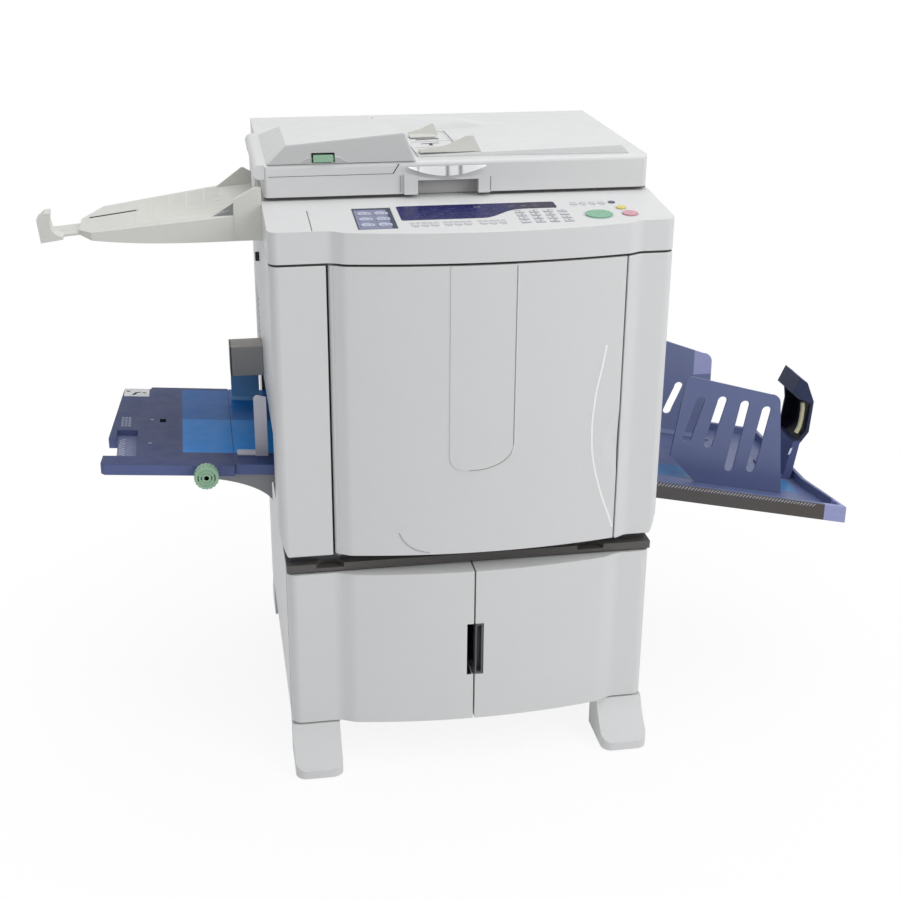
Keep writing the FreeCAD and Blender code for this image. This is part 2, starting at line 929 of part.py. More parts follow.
def make_pins():
    """The steel pins of the stand doors, the front cover and the lid."""
    pins = []
    head = s.pin_head_thick
    door_low = s.stand_foot + s.door_foot_gap + s.cover_wall
    door_high = s.stand_top - s.door_top_gap - s.cover_wall
    for name, sign in (("left", -1), ("right", 1)):
        x = sign * stand_pin_x
        pins.append(rod("stand_pin_low_" + name, s.pin_radius, x, stand_pin_y,
                        (s.stand_foot, door_low + 2)))
        pins.append(rod("stand_pin_high_" + name, s.pin_radius, x, stand_pin_y,
                        (door_high - 2, s.stand_top + s.pin_sink)))
    low = cover_ear_low()
    high = cover_ear_high() + s.ear_thick
    pins.append(rod("cover_pin_low", s.pin_radius, hinge_x, hinge_y, (low, s.door_low + s.cover_wall + 4)))
    pins.append(rod("cover_head_low", s.pin_head, hinge_x, hinge_y, (low - head, low)))
    pins.append(rod("cover_pin_high", s.pin_radius, hinge_x, hinge_y,
                    (s.door_high - s.cover_wall - 4, high)))
    pins.append(rod("cover_head_high", s.pin_head, hinge_x, hinge_y, (high, high + head)))
    for name, sign in (("left", -1), ("right", 1)):
        x = sign * s.lid_pivot_x
        half = s.knuckle_width / 2 + s.knuckle_gap + s.plate_thick
        pins.append(rod("lid_pin_" + name, s.pin_radius, (x - half, x + half),
                        s.lid_pivot_y, s.lid_pivot_z))
        for end, side_x in (("inner", x - half - head), ("outer", x + half)):
            pins.append(rod("lid_head_%s_%s" % (name, end), s.pin_head, (side_x, side_x + head),
                            s.lid_pivot_y, s.lid_pivot_z))
    keep(fuse("pins", *pins), "hinge_pins")


def cover_ear_low():
    return s.door_low - s.ear_thick - 0.5


def cover_ear_high():
    return s.door_high + s.door_gap - s.ear_thick


def make_frame():
    """The base pan with the feed's lift rods, and the plates that carry the print unit."""
    wall = s.pan_wall
    outer = box("pan_block", (-s.pan_side, s.pan_side), (-s.pan_front, s.pan_side),
                (ledge_top, ledge_top + s.pan_height))
    inner = box("pan_hollow", (wall - s.pan_side, s.pan_side - wall),
                (wall - s.pan_front, s.pan_side - wall),
                (pan_top, ledge_top + s.pan_height + 1))
    rods = [rod("lift_rod_" + name, s.small_shaft, -s.lift_rod_x, sign * s.lift_rod_y,
                (pan_top - 1, s.lift_rod_top)) for name, sign in (("front", -1), ("rear", 1))]
    keep(fuse("pan_body", cut("pan_tray", outer, inner), *rods), "base_pan")

    half, top = s.plate_half, s.panel_foot
    outline = [(-half, pan_top), (half, pan_top), (half, top), (-half, top)]
    holes = shaft_holes()
    front_plate = sketched("front_plate", "xz", (-s.front_plate, front_plate_back), outline,
                           ("circle", (s.drum_x, s.drum_z), s.drum_port), *holes)
    ear = s.ear_width / 2
    ears = []
    for name, z in (("low", cover_ear_low()), ("high", cover_ear_high())):
        ears.append(box("cover_ear_" + name, (hinge_x - 7, hinge_x + ear),
                        (hinge_y - 5, 1 - s.front_plate), (z, z + s.ear_thick)))
    ear_hole = rod("ear_hole", pin_hole, hinge_x, hinge_y, (s.door_low - 20, s.door_high + 20))
    keep(cut("front_frame_body", fuse("front_plate_and_ears", front_plate, *ears), ear_hole),
         "front_frame")

    rear_plate = sketched("rear_plate", "xz", (s.rear_plate, rear_plate_back), outline,
                          ("circle", (s.drum_x, s.drum_z), s.stub_radius + s.run_gap),
                          ("circle", pinion_place(), s.stub_radius + s.run_gap), *holes)
    span = (front_plate_back, s.rear_plate)
    bars = [rod("tie_bar_%d" % i, s.bar_radius, x, span, z)
            for i, (x, z) in enumerate(((-s.bar_side, 440), (s.bar_side, 440),
                                        (-s.bar_side, 915), (s.bar_side, 915), (0, 700 + 215)))]
    keep(fuse("rear_frame_body", rear_plate, *bars), "rear_frame")


def shaft_holes():
    gap = s.run_gap
    return [("circle", (s.drum_x, press_z()), s.press_shaft + gap),
            ("circle", (s.timing_x, s.timing_z), s.small_shaft + gap),
            ("circle", (s.pickup_x, s.pickup_z), s.small_shaft + gap),
            ("circle", (s.roll_x, s.roll_z), s.small_shaft + gap)]


def press_z():
    return s.drum_z - s.drum_radius - s.press_radius - s.nip_gap


def pinion_place():
    """The pinion's centre, a mesh distance from the drum's."""
    reach = s.gear_module * (s.drum_teeth + s.pinion_teeth) / 2
    turn = math.radians(float(s.pinion_turn))
    return (s.drum_x + reach * math.cos(turn), s.drum_z + reach * math.sin(turn))


def make_covers():
    """Side, rear and front covers, cut from one thin shell of the body."""
    wall, foot, top = s.cover_wall, s.cover_foot, s.cover_top
    back = s.body_back - s.back_return
    outer = body_front.plan(0, back, (foot, top)).common(body_sides(0, foot, top))
    inner = body_front.plan(wall, back + 1, (foot - 5, top + 1))
    inner = inner.common(body_sides(wall, foot - 5, top + 1))
    shell = feature("body_shell", outer.cut(inner))
    up = (foot, top)

    left_part = common("left_cover_part", shell,
                       box("left_cover_zone", (-400, pillar_left - 2), (-400, back), (foot, top)))
    left_return = box("left_return", (pillar_left - 2 - wall, pillar_left - 2),
                      (face + 1, -s.pillar_return), up)
    feed_hole = box("feed_hole", (-400, 40 - side), (-s.feed_half, s.feed_half),
                    (s.feed_low, s.feed_high))
    keep(cut("left_cover_body", fuse("left_cover_shell", left_part, left_return), feed_hole),
         "left_side_cover")

    edge = s.door_right + s.door_gap
    right_part = common("right_cover_part", shell,
                        box("right_cover_zone", (edge, 400), (-400, back), (foot, top)))
    right_return = box("right_return", (edge, edge + wall),
                       (face - s.crease_depth + 2, -s.pillar_return), up)
    exit_hole = box("exit_hole", (side - 40, 400), (-s.exit_half, s.exit_half),
                    (s.exit_low, s.exit_high))
    half = s.switch_length / 2
    switch_hole = box("switch_hole", (side - 20, side + 5),
                      (s.switch_y - half, s.switch_y + half),
                      (s.switch_z - s.switch_radius - 0.5, s.switch_z + s.switch_radius + 0.5))
    cup = box("switch_cup", (side - 22, side - 1), (s.switch_y - half - 2, s.switch_y + half + 2),
              (s.switch_z - s.switch_radius - 2.5, s.switch_z + s.switch_radius + 2.5))
    keep(cut("right_cover_body", fuse("right_cover_shell", right_part, right_return, cup),
             exit_hole, switch_hole), "right_side_cover")
    make_rear_cover(back)
    make_front_cover()


def make_rear_cover(start):
    """The back of the body, wrapped round both rear corners, with vents and an inlet port."""
    wall, foot, top = s.cover_wall, s.cover_foot, s.cover_top
    outer = Part.makeBox(float(s.body_width), float(s.body_back - start), float(top - foot),
                         Vector(-float(side), float(start), float(foot)))
    outer = outer.makeFillet(float(s.body_corner), corner_edges(outer, float(s.body_back)))
    outer = outer.common(body_sides(0, foot, top))
    inner = block((wall - side, side - wall), (start - 1, s.body_back - wall), (foot - 5, top + 1))
    inner = inner.makeFillet(float(s.body_corner - wall), corner_edges(inner, float(s.body_back - wall)))
    shell = outer.cut(inner.common(body_sides(wall, foot - 5, top + 1)))
    middle = float(s.supply_left + s.supply_width / 2)
    half = float(s.inlet_width) / 2 + 4
    up = float(s.supply_low + s.supply_height / 2)
    tall = float(s.inlet_height) / 2 + 4
    tools = [block((middle - half, middle + half), (300, 400), (up - tall, up + tall))]
    for row in range(7):
        z = 700 + 16 * row
        tools.append(block((-180, 20), (300, 400), (z, z + 6)))
    keep(feature("rear_cover_shell", shell.cut(tools)), "rear_cover")


def corner_edges(shape, y, tall=50):
    """The upright edges of a block at its rear face."""
    return [e for e in shape.Edges if abs(e.BoundBox.YMin - y) < 1e-3 and e.BoundBox.ZLength > tall]


def make_front_cover():
    """The hinged door over the print unit, bowed, with a hand scoop at its free edge."""
    wall = s.cover_wall
    back = -s.door_depth
    x = (-s.door_left, s.door_right)
    z = (s.door_low, s.door_high)
    zone = block(x, (-400, back), z)
    outer = body_front.plan(0, back, z).common(zone)
    inner = body_front.plan(wall, back + 1, z).common(
        block((x[0] + wall, x[1] - wall), (-400, back + 1), (z[0] + wall, z[1] - wall)))
    radius, circle = float(s.scoop_radius), float(s.scoop_circle)
    centre = Vector(float(s.scoop_x), float(face - s.crease_depth) - math.sqrt(radius ** 2 - circle ** 2),
                    float(s.scoop_height))
    left, right, low = float(s.tongue_left), float(s.tongue_right), float(s.tongue_low)
    tongue = prism("xz", (-400, back), (left, s.door_high), ("line", (left, low + 26)),
                   ("arc", (left + 7.6, low + 7.6), (left + 26, low)),
                   ("curve", (right - 41, low - 1), (right - 9, low + 9), (right, low + 37)),
                   ("line", (right, s.door_high)))
    skin = body_front.plan(-s.tongue_proud, back, z).cut(body_front.plan(1, back + 1, z))
    outer = outer.fuse(tongue.common(skin).common(zone))
    crease = prism("xz", (-400, back), (-133.8, 462.5), ("arc", (-118.0, 437.0), (-89, 423.2)),
                   ("line", (-89, 425)), ("arc", (-116.7, 438.2), (-132.2, 462.5)))
    outer = outer.cut(crease.common(body_front.plan(-1, back, z).cut(body_front.plan(0.8, back + 1, z))))
    outer = outer.cut(Part.makeSphere(radius, centre))
    inner = inner.cut(Part.makeSphere(radius + float(wall), centre))
    nose = block((x[0] - 1, hinge_x), (face - 3, hinge_y), z)
    pin = Vector(float(hinge_x), float(hinge_y), 0)
    nose = nose.cut(Part.makeCylinder(float(s.hinge_nose), 1200, pin))
    hole = Part.makeCylinder(float(pin_hole), 1200, pin)
    keep(feature("front_cover_shell", outer.cut(inner).cut([nose, hole])), "front_cover")


def tilted(shape):
    """Put a piece drawn on the flat panel plane onto the sloping panel."""
    turned = shape.copy()
    turned.Placement = Placement(Vector(0, float(face), float(s.panel_front_top)),
                                 Rotation(Vector(1, 0, 0), math.degrees(slope)))
    return turned


def key_block(u, v, width, depth, grow=0, low=-1, high=1):
    """A key or its hole, centred at u, v on the flat panel plane."""
    half, deep = width / 2 + grow, depth / 2 + grow
    solid = Part.makeBox(2 * half, 2 * deep, high - low, Vector(u - half, v - deep, low))
    upright = [e for e in solid.Edges if e.BoundBox.ZLength > high - low - 0.01]
    return solid.makeFillet(min(half, deep) * 0.35, upright)


def round_key(u, v, radius, grow=0, low=-1, high=1):
    return Part.makeCylinder(radius + grow, high - low, Vector(u, v, low))


def key_places():
    """Centres of every key of the three key groups on the panel plane."""
    middle = (s.mode_left + s.mode_right) / 2
    mode = [(float(middle + s.mode_pitch_x * (i - 0.5)), float(s.mode_low + 20 + s.mode_pitch_y * j))
            for j in range(3) for i in range(2)]
    function = [(first + float(s.function_pitch_x) * i, float(s.function_low))
                for first in (-97, -43, 14) for i in range(3)]
    function += [(184 + float(s.function_pitch_x) * i, float(s.reset_v) - 3) for i in range(4)]
    number = [(float(s.number_left + s.number_pitch_x * i), float(s.number_low + s.number_pitch_y * j))
              for j in range(4) for i in range(4)]
    return mode, function, number


def make_panel():
    """The control panel housing with its display, keys and the holes for them."""
    wall, foot = s.cover_wall, s.panel_foot
    end = float(lid_front)
    front = -float(s.body_face + s.crease_depth + s.bow_rise) - 10
    rise = math.tan(slope)

    def wedge(drop, low):
        top_at = float(s.panel_front_top) - drop
        return polygon("yz", (-400, 400), (front, low), (end + 1, low),
                       (end + 1, top_at + (end + 1 - float(face)) * rise),
                       (front, top_at + (front - float(face)) * rise))

    outer = body_front.plan(0, end, (foot, s.deck_top + 5)).common(wedge(0, float(foot)))
    inner = body_front.plan(wall, end + 1, (foot - 1, s.deck_top + 5)).common(
        wedge(float(s.panel_skin), float(foot) - 1))
    housing = outer.cut(inner).fuse(panel_lip(end)).removeSplitter()
    gap, deep = float(s.key_gap), -10
    mode, function, number = key_places()
    tools = [key_block(u, v, float(s.mode_key_width), float(s.mode_key_depth), gap, deep, 5)
             for u, v in mode]
    tools += [key_block(u, v, float(s.function_key_width), float(s.function_key_depth), gap, deep, 5)
              for u, v in function]
    tools += [key_block(u, v, float(s.number_key_width), float(s.number_key_depth), gap, deep, 5)
              for u, v in number]
    tools.append(start_oval(gap, deep, 5))
    tools.append(round_key(float(s.stop_u), float(s.stop_v), float(s.stop_radius), gap, deep, 5))
    tools.append(round_key(float(s.test_u), float(s.test_v), float(s.test_radius), gap, deep, 5))
    tools.append(round_key(float(s.reset_u), float(s.reset_v), float(s.reset_radius), gap, deep, 5))
    tools.append(block((s.panel_seam - 0.8, s.panel_seam + 0.8), (4, 106), (-1.2, 5)))
    tools.append(display_shape(0.2, -float(s.display_recess), 5))
    tools.append(block((s.mode_left, s.mode_right), (s.mode_low, s.mode_high), (-s.mode_recess, 5)))
    keep(feature("panel_housing", housing.cut([tilted(t) for t in tools])), "control_panel")

    rise_up, body = float(s.key_rise), -float(s.key_body)
    low_rise = rise_up - 1
    keep(feature("display_glass", tilted(display_shape(0, -float(s.display_recess), 0.2))),
         "display_window")
    modes = [tilted(key_block(u, v, float(s.mode_key_width), float(s.mode_key_depth), 0, body, 1.0))
             for u, v in mode]
    functions = [tilted(key_block(u, v, float(s.function_key_width), float(s.function_key_depth),
                                  0, body, low_rise)) for u, v in function]
    functions.append(tilted(round_key(float(s.reset_u), float(s.reset_v), float(s.reset_radius),
                                      0, body, low_rise)))
    keep(feature("function_key_set", Part.makeCompound(modes + functions)), "function_keys")
    numbers = [tilted(key_block(u, v, float(s.number_key_width), float(s.number_key_depth),
                                0, body, low_rise)) for u, v in number]
    keep(feature("number_key_set", Part.makeCompound(numbers)), "number_keys")
    keep(feature("start_button", tilted(start_oval(0, body, rise_up))), "start_key")
    keep(feature("stop_button", tilted(round_key(float(s.stop_u), float(s.stop_v),
                                                 float(s.stop_radius), 0, body, rise_up))), "stop_key")
    keep(feature("test_button", tilted(round_key(float(s.test_u), float(s.test_v),
                                                 float(s.test_radius), 0, body, rise_up))), "test_key")


def panel_lip(end):
    """The set-back lip that rests on the two pillars, clear of the front cover."""
    span = (s.cover_top, s.panel_foot + 1)
    ring = body_front.plan(s.lip_inset, end, span).cut(
        body_front.plan(s.lip_inset + s.lip_wall, end + 1, span))
    return ring.cut(block((pillar_left, s.door_right + s.door_gap), (-400, face + 40), (900, 1000)))


def start_oval(grow, low, high):
    """The start key, an oval wider than it is deep."""
    major = float(s.start_radius) + grow
    minor = float(s.start_radius) * float(s.start_short) + grow
    centre = Vector(float(s.start_u), float(s.start_v), low)
    edge = Part.Ellipse(centre, major, minor).toShape()
    return Part.Face(Part.Wire([edge])).extrude(Vector(0, 0, high - low))


def display_shape(grow, low, high):
    """The display: a deep left part and a shallower tail to the right."""
    left, split, right = (float(v) for v in (s.display_left, s.display_split, s.display_right))
    bottom, middle, top = (float(v) for v in (s.display_low, s.display_middle, s.display_high))
    left, bottom = left - grow, bottom - grow
    right, top, middle = right + grow, top + grow, middle - grow
    r = float(s.display_radius)
    bend = r * (1 - math.sqrt(0.5))
    return prism("xy", (low, high), (left + r, bottom), ("line", (split - 40, bottom)),
                 ("curve", (split - 5, bottom), (split, middle), (split + 45, middle)),
                 ("line", (right - r, middle)), ("arc", (right - bend, middle + bend), (right, middle + r)),
                 ("line", (right, top - r)), ("arc", (right - bend, top - bend), (right - r, top)),
                 ("line", (left + r, top)), ("arc", (left + bend, top - bend), (left, top - r)),
                 ("line", (left, bottom + r)), ("arc", (left + bend, bottom + bend), (left + r, bottom)))


def make_scanner():
    """The upper housing with its glass, rails and scan carriage."""
    wall, foot, top = s.cover_wall, s.panel_foot, s.deck_top
    outer = Part.makeBox(float(s.body_width), float(s.body_back - lid_front), float(top - foot),
                         Vector(-float(side), float(lid_front), float(foot)))
    outer = outer.makeFillet(float(s.body_corner), corner_edges(outer, float(s.body_back)))
    hollow = block((wall - side, side - wall), (lid_front + wall, s.body_back - s.body_corner),
                   (foot + wall, top - wall))
    port = block((-s.glass_half - 0.3, s.glass_half + 0.3), (-s.glass_front - 0.3, s.glass_rear + 0.3),
                 (top - s.glass_thick, top + 1))
    sight = block((8 - s.glass_half, s.glass_half - 8), (8 - s.glass_front, s.glass_rear - 8),
                  (top - 20, top + 1))
    rails = [block((20 - side, side - 20), (y - s.rail_width / 2, y + s.rail_width / 2),
                   (foot + wall - 0.5, foot + wall + s.rail_height))
             for y in (-s.rail_front, s.rail_rear)]
    shape = outer.cut([hollow, port, sight]).fuse(rails)
    shelf = block((-s.glass_half - 6, s.glass_half + 6), (-s.glass_front - 6, s.glass_rear + 6),
                  (top - s.glass_thick - 3, top - wall))
    shape = shape.fuse(shelf.cut(sight).cut(port))
    inset, lip = s.lip_inset, s.lip_wall
    ring = block((inset - side, side - inset), (lid_front, s.body_back - inset), (s.cover_top, foot + 1))
    ring = ring.makeFillet(float(s.body_corner - inset), corner_edges(ring, float(s.body_back - inset), 3))
    shape = shape.fuse(ring.cut(block((inset + lip - side, side - inset - lip),
                                      (lid_front - 1, s.body_back - inset - lip - 10), (900, foot))))
    for sign in (-1, 1):
        for edge in (-1, 1):
            x = sign * float(s.lid_pivot_x) + edge * float(
                (s.knuckle_width + s.plate_thick) / 2 + s.knuckle_gap)
            half = float(s.plate_thick) / 2
            ear = block((x - half, x + half), (s.lid_pivot_y - s.knuckle_radius, s.body_back),
                        (top - 1, s.lid_pivot_z))
            ear = ear.fuse(Part.makeCylinder(float(s.knuckle_radius), 2 * half,
                                             Vector(x - half, float(s.lid_pivot_y), float(s.lid_pivot_z)),
                                             Vector(1, 0, 0)))
            shape = shape.fuse(ear)
    bore = Part.makeCylinder(float(pin_hole), 700, Vector(-350, float(s.lid_pivot_y), float(s.lid_pivot_z)),
                             Vector(1, 0, 0))
    keep(feature("scanner_body", shape.cut(bore).removeSplitter()), "scanner_housing")

    keep(sketched("glass_plate", "xy", (top - s.glass_thick, top),
                  [(-s.glass_half, -s.glass_front), (s.glass_half, -s.glass_front),
                   (s.glass_half, s.glass_rear), (-s.glass_half, s.glass_rear)]), "stage_glass")

    x = (s.carriage_x - s.carriage_width / 2, s.carriage_x + s.carriage_width / 2)
    bar = box("carriage_bar", x, (-s.rail_front - 12, s.rail_rear + 12),
              (s.carriage_low, s.carriage_high))
    slot = box("carriage_slot", (s.carriage_x - 6, s.carriage_x + 6), (-95, 265),
               (s.carriage_high - 14, s.carriage_high + 1))
    keep(cut("carriage_body", bar, slot), "scan_carriage")


def make_lid():
    """The lid with its handle, pad and hinge knuckles."""
    foot, top, half = s.lid_foot, s.lid_top, s.lid_half
    front = lid_front
    slab = block((-half, half), (front, s.lid_rear), (foot, top))
    edges = [e for e in slab.Edges if e.BoundBox.ZLength > 10 or
             (abs(e.BoundBox.ZMin - float(top)) < 1e-3 and e.BoundBox.XLength > 100)]
    slab = slab.makeFillet(float(s.lid_corner), edges)
    hollow = block((s.lid_rim - half, half - s.lid_rim), (front + s.lid_rim, s.lid_rear - s.lid_rim + 5),
                   (foot - 1, top - s.lid_skin))
    handle = block((-s.handle_left, s.handle_right), (front - s.handle_proud, front + 5),
                   (s.handle_low, s.handle_high))
    middle = float(s.handle_right - s.handle_left) / 2
    crest = Part.makeCylinder(260, 60, Vector(middle, float(front) - 45, float(s.handle_high) + 238),
                              Vector(0, 1, 0))
    crest.rotate(Vector(middle, float(front), float(s.handle_high)), Vector(1, 0, 0), -34)
    handle = handle.cut(crest)
    finger = block((-s.finger_left, s.finger_right), (front - 20, front + s.finger_deep),
                   (foot - 1, s.finger_high))
    pad_top = s.deck_top + s.lid_pad_gap + s.lid_pad_thick
    rib = s.rib_thick
    ribs = [block((x, x + rib), (front + s.lid_rim - 1, s.lid_rear - 10), (pad_top, top - 5)) for x in (-180, -60, 60, 180)]
    ribs += [block((10 - half, half - 10), (y, y + rib), (pad_top, top - 5)) for y in (0, 140)]
    cap = block((-s.cap_left, 2 - half), (-s.cap_front, s.cap_back), (s.cap_low, top))
    cap = cap.makeFillet(min(float(s.cap_round), float(top - s.cap_low) / 2 - 0.5),
                         [e for e in cap.Edges if e.BoundBox.YLength > 100 and
                          e.BoundBox.XMax < -float(half) - 5])
    mouth = block((-s.cap_left - 50, s.lid_rim + 5 - half),
                  (s.feed_roller_y - s.exit_slot_half, s.feed_roller_y + s.exit_slot_half),
                  (s.exit_slot_low, s.exit_slot_high))
    shape = slab.cut(hollow).fuse(handle).cut(finger).fuse(ribs).fuse(cap).cut(mouth)
    for sign in (-1, 1):
        x = sign * float(s.lid_pivot_x)
        wide = float(s.knuckle_width) / 2
        arm = block((x - wide, x + wide), (s.lid_rear - 4, s.lid_pivot_y),
                    (s.lid_pivot_z - s.knuckle_radius + 3.5, s.lid_pivot_z + s.knuckle_radius))
        arm = arm.fuse(Part.makeCylinder(float(s.knuckle_radius), 2 * wide,
                                         Vector(x - wide, float(s.lid_pivot_y), float(s.lid_pivot_z)),
                                         Vector(1, 0, 0)))
        shape = shape.fuse(arm)
    bore = Part.makeCylinder(float(pin_hole), 700, Vector(-350, float(s.lid_pivot_y), float(s.lid_pivot_z)),
                             Vector(1, 0, 0))
    bearings = []
    for y in (-1, 1):
        place_y = float(s.feed_roller_y) + y * float(s.feed_roller_half + 10)
        bearings.append(block((s.feed_roller_x - 8, s.feed_roller_x + 8), (place_y - 3, place_y + 3),
                              (top - 2, s.feed_roller_z + 6)))
    shape = shape.fuse(bearings)
    shaft = Part.makeCylinder(float(s.roller_shaft + s.run_gap), 2 * float(s.feed_roller_half) + 40,
                              Vector(float(s.feed_roller_x),
                                     float(s.feed_roller_y - s.feed_roller_half) - 20,
                                     float(s.feed_roller_z)), Vector(0, 1, 0))
    keep(feature("lid_body", shape.cut([bore, shaft]).removeSplitter()), "lid_base")

    gap = s.seat_gap
    low = s.deck_top + s.lid_pad_gap
    keep(box("platen_pad", (s.lid_rim - half + gap, half - s.lid_rim - gap),
             (front + s.lid_rim + gap, s.lid_rear - s.lid_rim + 5 - gap),
             (low, low + s.lid_pad_thick)), "lid_pad")
    make_feeder()
    make_document_rest()


def beyond(corners, inset):
    """A large block past the plane through three corners, moved inwards by the inset."""
    a, b, c = [Vector(*[float(v) for v in corner]) for corner in corners]
    normal = (b - a).cross(c - a)
    normal.normalize()
    far = Part.makeBox(2000, 2000, 600, Vector(-1000, -1000, 0))
    far.Placement = Placement(a - normal * inset, Rotation(Vector(0, 0, 1), normal))
    return far


def hump(inset, low, soft):
    """The feeder cover's outer or inner form: a block cut by five leaning planes."""
    seat = s.lid_top
    left, front = -s.hump_left, -s.hump_front
    crown_left, crown_right = -s.hump_crown_left, -s.hump_crown_right
    foot_right = (-s.hump_right, front, seat)
    crown = (crown_right, -s.hump_crown_front, s.hump_right_top)
    corner = (-s.hump_corner_x, s.hump_corner_y, s.hump_corner_z)
    ridge = (crown_left, s.hump_crown_back, s.hump_left_top)
    planes = [
        ((crown_left, 0, s.hump_left_top), (crown_right, 0, s.hump_right_top),
         (crown_left, 100, s.hump_left_top)),
        ((left, front, seat), foot_right, crown),
        ((left, front, seat), (crown_left, front, s.hump_left_top), (left, s.hump_back, seat)),
        (foot_right, corner, crown),
        (ridge, corner, (crown_left, s.hump_back, seat)),
    ]
    form = block((left - 80, 30 - s.hump_right), (front - 20, s.hump_back + 30), (low, seat + 140))
    form = form.cut([beyond(corners, inset) for corners in planes])
    return form.makeFillet(float(soft), [e for e in form.Edges if e.BoundBox.ZMax > float(low) + 1])


def make_feeder():
    """The feeder cover over its rollers, and the release lever at its front."""
    seat = float(s.lid_top + s.hump_seat)
    shell = hump(0, seat, s.hump_round).cut(hump(float(s.hump_skin), seat - 1, s.hump_inner_round))
    run = s.lever_mound_slope
    mound = polygon("xz", (-s.hump_front, 16 - s.hump_front), (-s.lever_mound_left, seat),
                    (-s.lever_mound_right, seat), (-s.lever_mound_right - run, s.lever_mound_top),
                    (run - s.lever_mound_left, s.lever_mound_top))
    port = block((-s.lever_left - 3, 3 - s.lever_right), (-s.hump_front - 1, 30 - s.hump_front),
                 (s.lever_low - 1.6, s.lever_high + 3.5))
    inlet = block((-s.inlet_inner, -s.inlet_outer),
                  (s.feed_roller_y - s.inlet_half, s.feed_roller_y + s.inlet_half),
                  (s.inlet_low, s.inlet_high))
    reach = float(s.lever_pin_reach)
    pivot = Vector(-float(s.lever_left) - reach - 1, -float(s.lever_pivot_y), float(s.lever_pin_z))
    bearing = Part.makeCylinder(float(s.lever_pin + s.run_gap), float(s.lever_left - s.lever_right) +
                                2 * reach + 2, pivot, Vector(1, 0, 0))
    shell = shell.fuse(mound).cut([port, inlet, bearing])
    keep(feature("feeder_shell", shell.removeSplitter()), "feeder_cover")

    middle, half, wide = s.feed_roller_y, s.feed_roller_half, s.feed_roller_width / 2
    shaft = rod("feeder_shaft", s.roller_shaft, s.feed_roller_x, (middle - half - 11, middle + half + 11),
                s.feed_roller_z)
    places = (middle - s.feed_roller_step, middle, middle + s.feed_roller_step)
    rollers = [rod("feeder_roller_%d" % i, s.feed_roller_radius, s.feed_roller_x, (y - wide, y + wide),
                   s.feed_roller_z) for i, y in enumerate(places)]
    keep(fuse("feeder_roller_set", shaft, *rollers), "feeder_rollers")

    lever = box("lever_block", (-s.lever_left, -s.lever_right), (-s.hump_front - 3, 15 - s.hump_front),
                (s.lever_low, s.lever_high))
    pin = rod("lever_pin", s.lever_pin, (-s.lever_left - s.lever_pin_reach,
                                         s.lever_pin_reach - s.lever_right),
              -s.lever_pivot_y, s.lever_pin_z)
    keep(fuse("lever_body", lever, pin), "release_lever")


def make_document_rest():
    """The sloping document tray on the lid, its rear wall and its two guides."""
    top = s.lid_top
    left, right = s.rest_left, s.rest_right
    end = float(top + s.rest_rise)
    deck = polygon("xz", (-s.rest_front, s.rest_back), (left, top), (right, top),
                   (s.rest_slope_end, end), (left, top + s.rest_thick))
    plan = polygon("xy", (1000, 1200), (left, -s.rest_front + 14), (47, -s.rest_front + 12),
                   (right, -s.rest_front), (right - 38, 120), (216, s.rest_back), (left, s.rest_back))
    wall = polygon("xz", (s.wall_front, s.wall_back), (-s.wall_left, top),
                   (-s.wall_left, top + s.wall_height), (s.wall_bend, top + s.wall_bend_height),
                   (s.wall_toe, top + s.wall_toe_height), (s.wall_right, top))
    wall = wall.common(polygon("yz", (-s.wall_left - 1, s.wall_right + 1), (s.wall_front, top),
                               (s.wall_crown, top + s.wall_height + 2),
                               (s.wall_back, top + s.wall_height + 2), (s.wall_back, top)))
    skin = s.rest_thick
    under = polygon("xz", (12 - s.rest_front, s.rest_back - skin), (84, top - 1), (right - 26, top - 1),
                    (right - 30, end - skin - 1), (84, top + skin))
    shape = deck.common(plan).cut(under.common(block((80, 210), (-400, 400), (0, 2000))))
    shape = shape.cut(block((-14, 14), (-100, 100), (top + skin - 1, top + 30)))
    shape = shape.fuse(wall).removeSplitter()
    keep(feature("document_rest", shape), "document_tray")

    front = (s.guide_left + 4, s.guide_right, s.guide_peak_x, s.guide_peak)
    rear = (-s.rear_guide_left, -s.rear_guide_right, -s.rear_guide_peak_x, s.rear_guide_peak)
    for name, y, sign, places in (("front", -s.guide_front_y, 1, front), ("rear", s.guide_rear_y, -1, rear)):
        x0, x1, xp, rise = [float(v) for v in places]
        climb = float(s.rest_rise - s.rest_thick) / float(s.rest_slope_end - s.rest_left)
        low = float(top + s.rest_thick + s.guide_gap) + (x1 - float(s.rest_left)) * climb
        peak = float(top) + rise
        thick = float(s.guide_thick)
        part_of = (xp - x0) / 92
        fin = prism("xz", (float(y) - thick / 2, float(y) + thick / 2), (x0, low), ("line", (x1, low)),
                    ("line", (xp, peak)), ("line", (xp - 10 * part_of, peak)),
                    ("curve", (xp - 26 * part_of, peak - 4), (xp - 36 * part_of, low + 12),
                     (xp - 60 * part_of, low + 10)),
                    ("line", (x0, low + 6)))
        ends = sorted((float(y), float(y) + sign * float(s.guide_base)))
        foot = block((x0, x1 - 8), ends, (low, low + 2.4))
        keep(feature("document_fin_" + name, fin.fuse(foot).removeSplitter()), "document_guide_" + name)


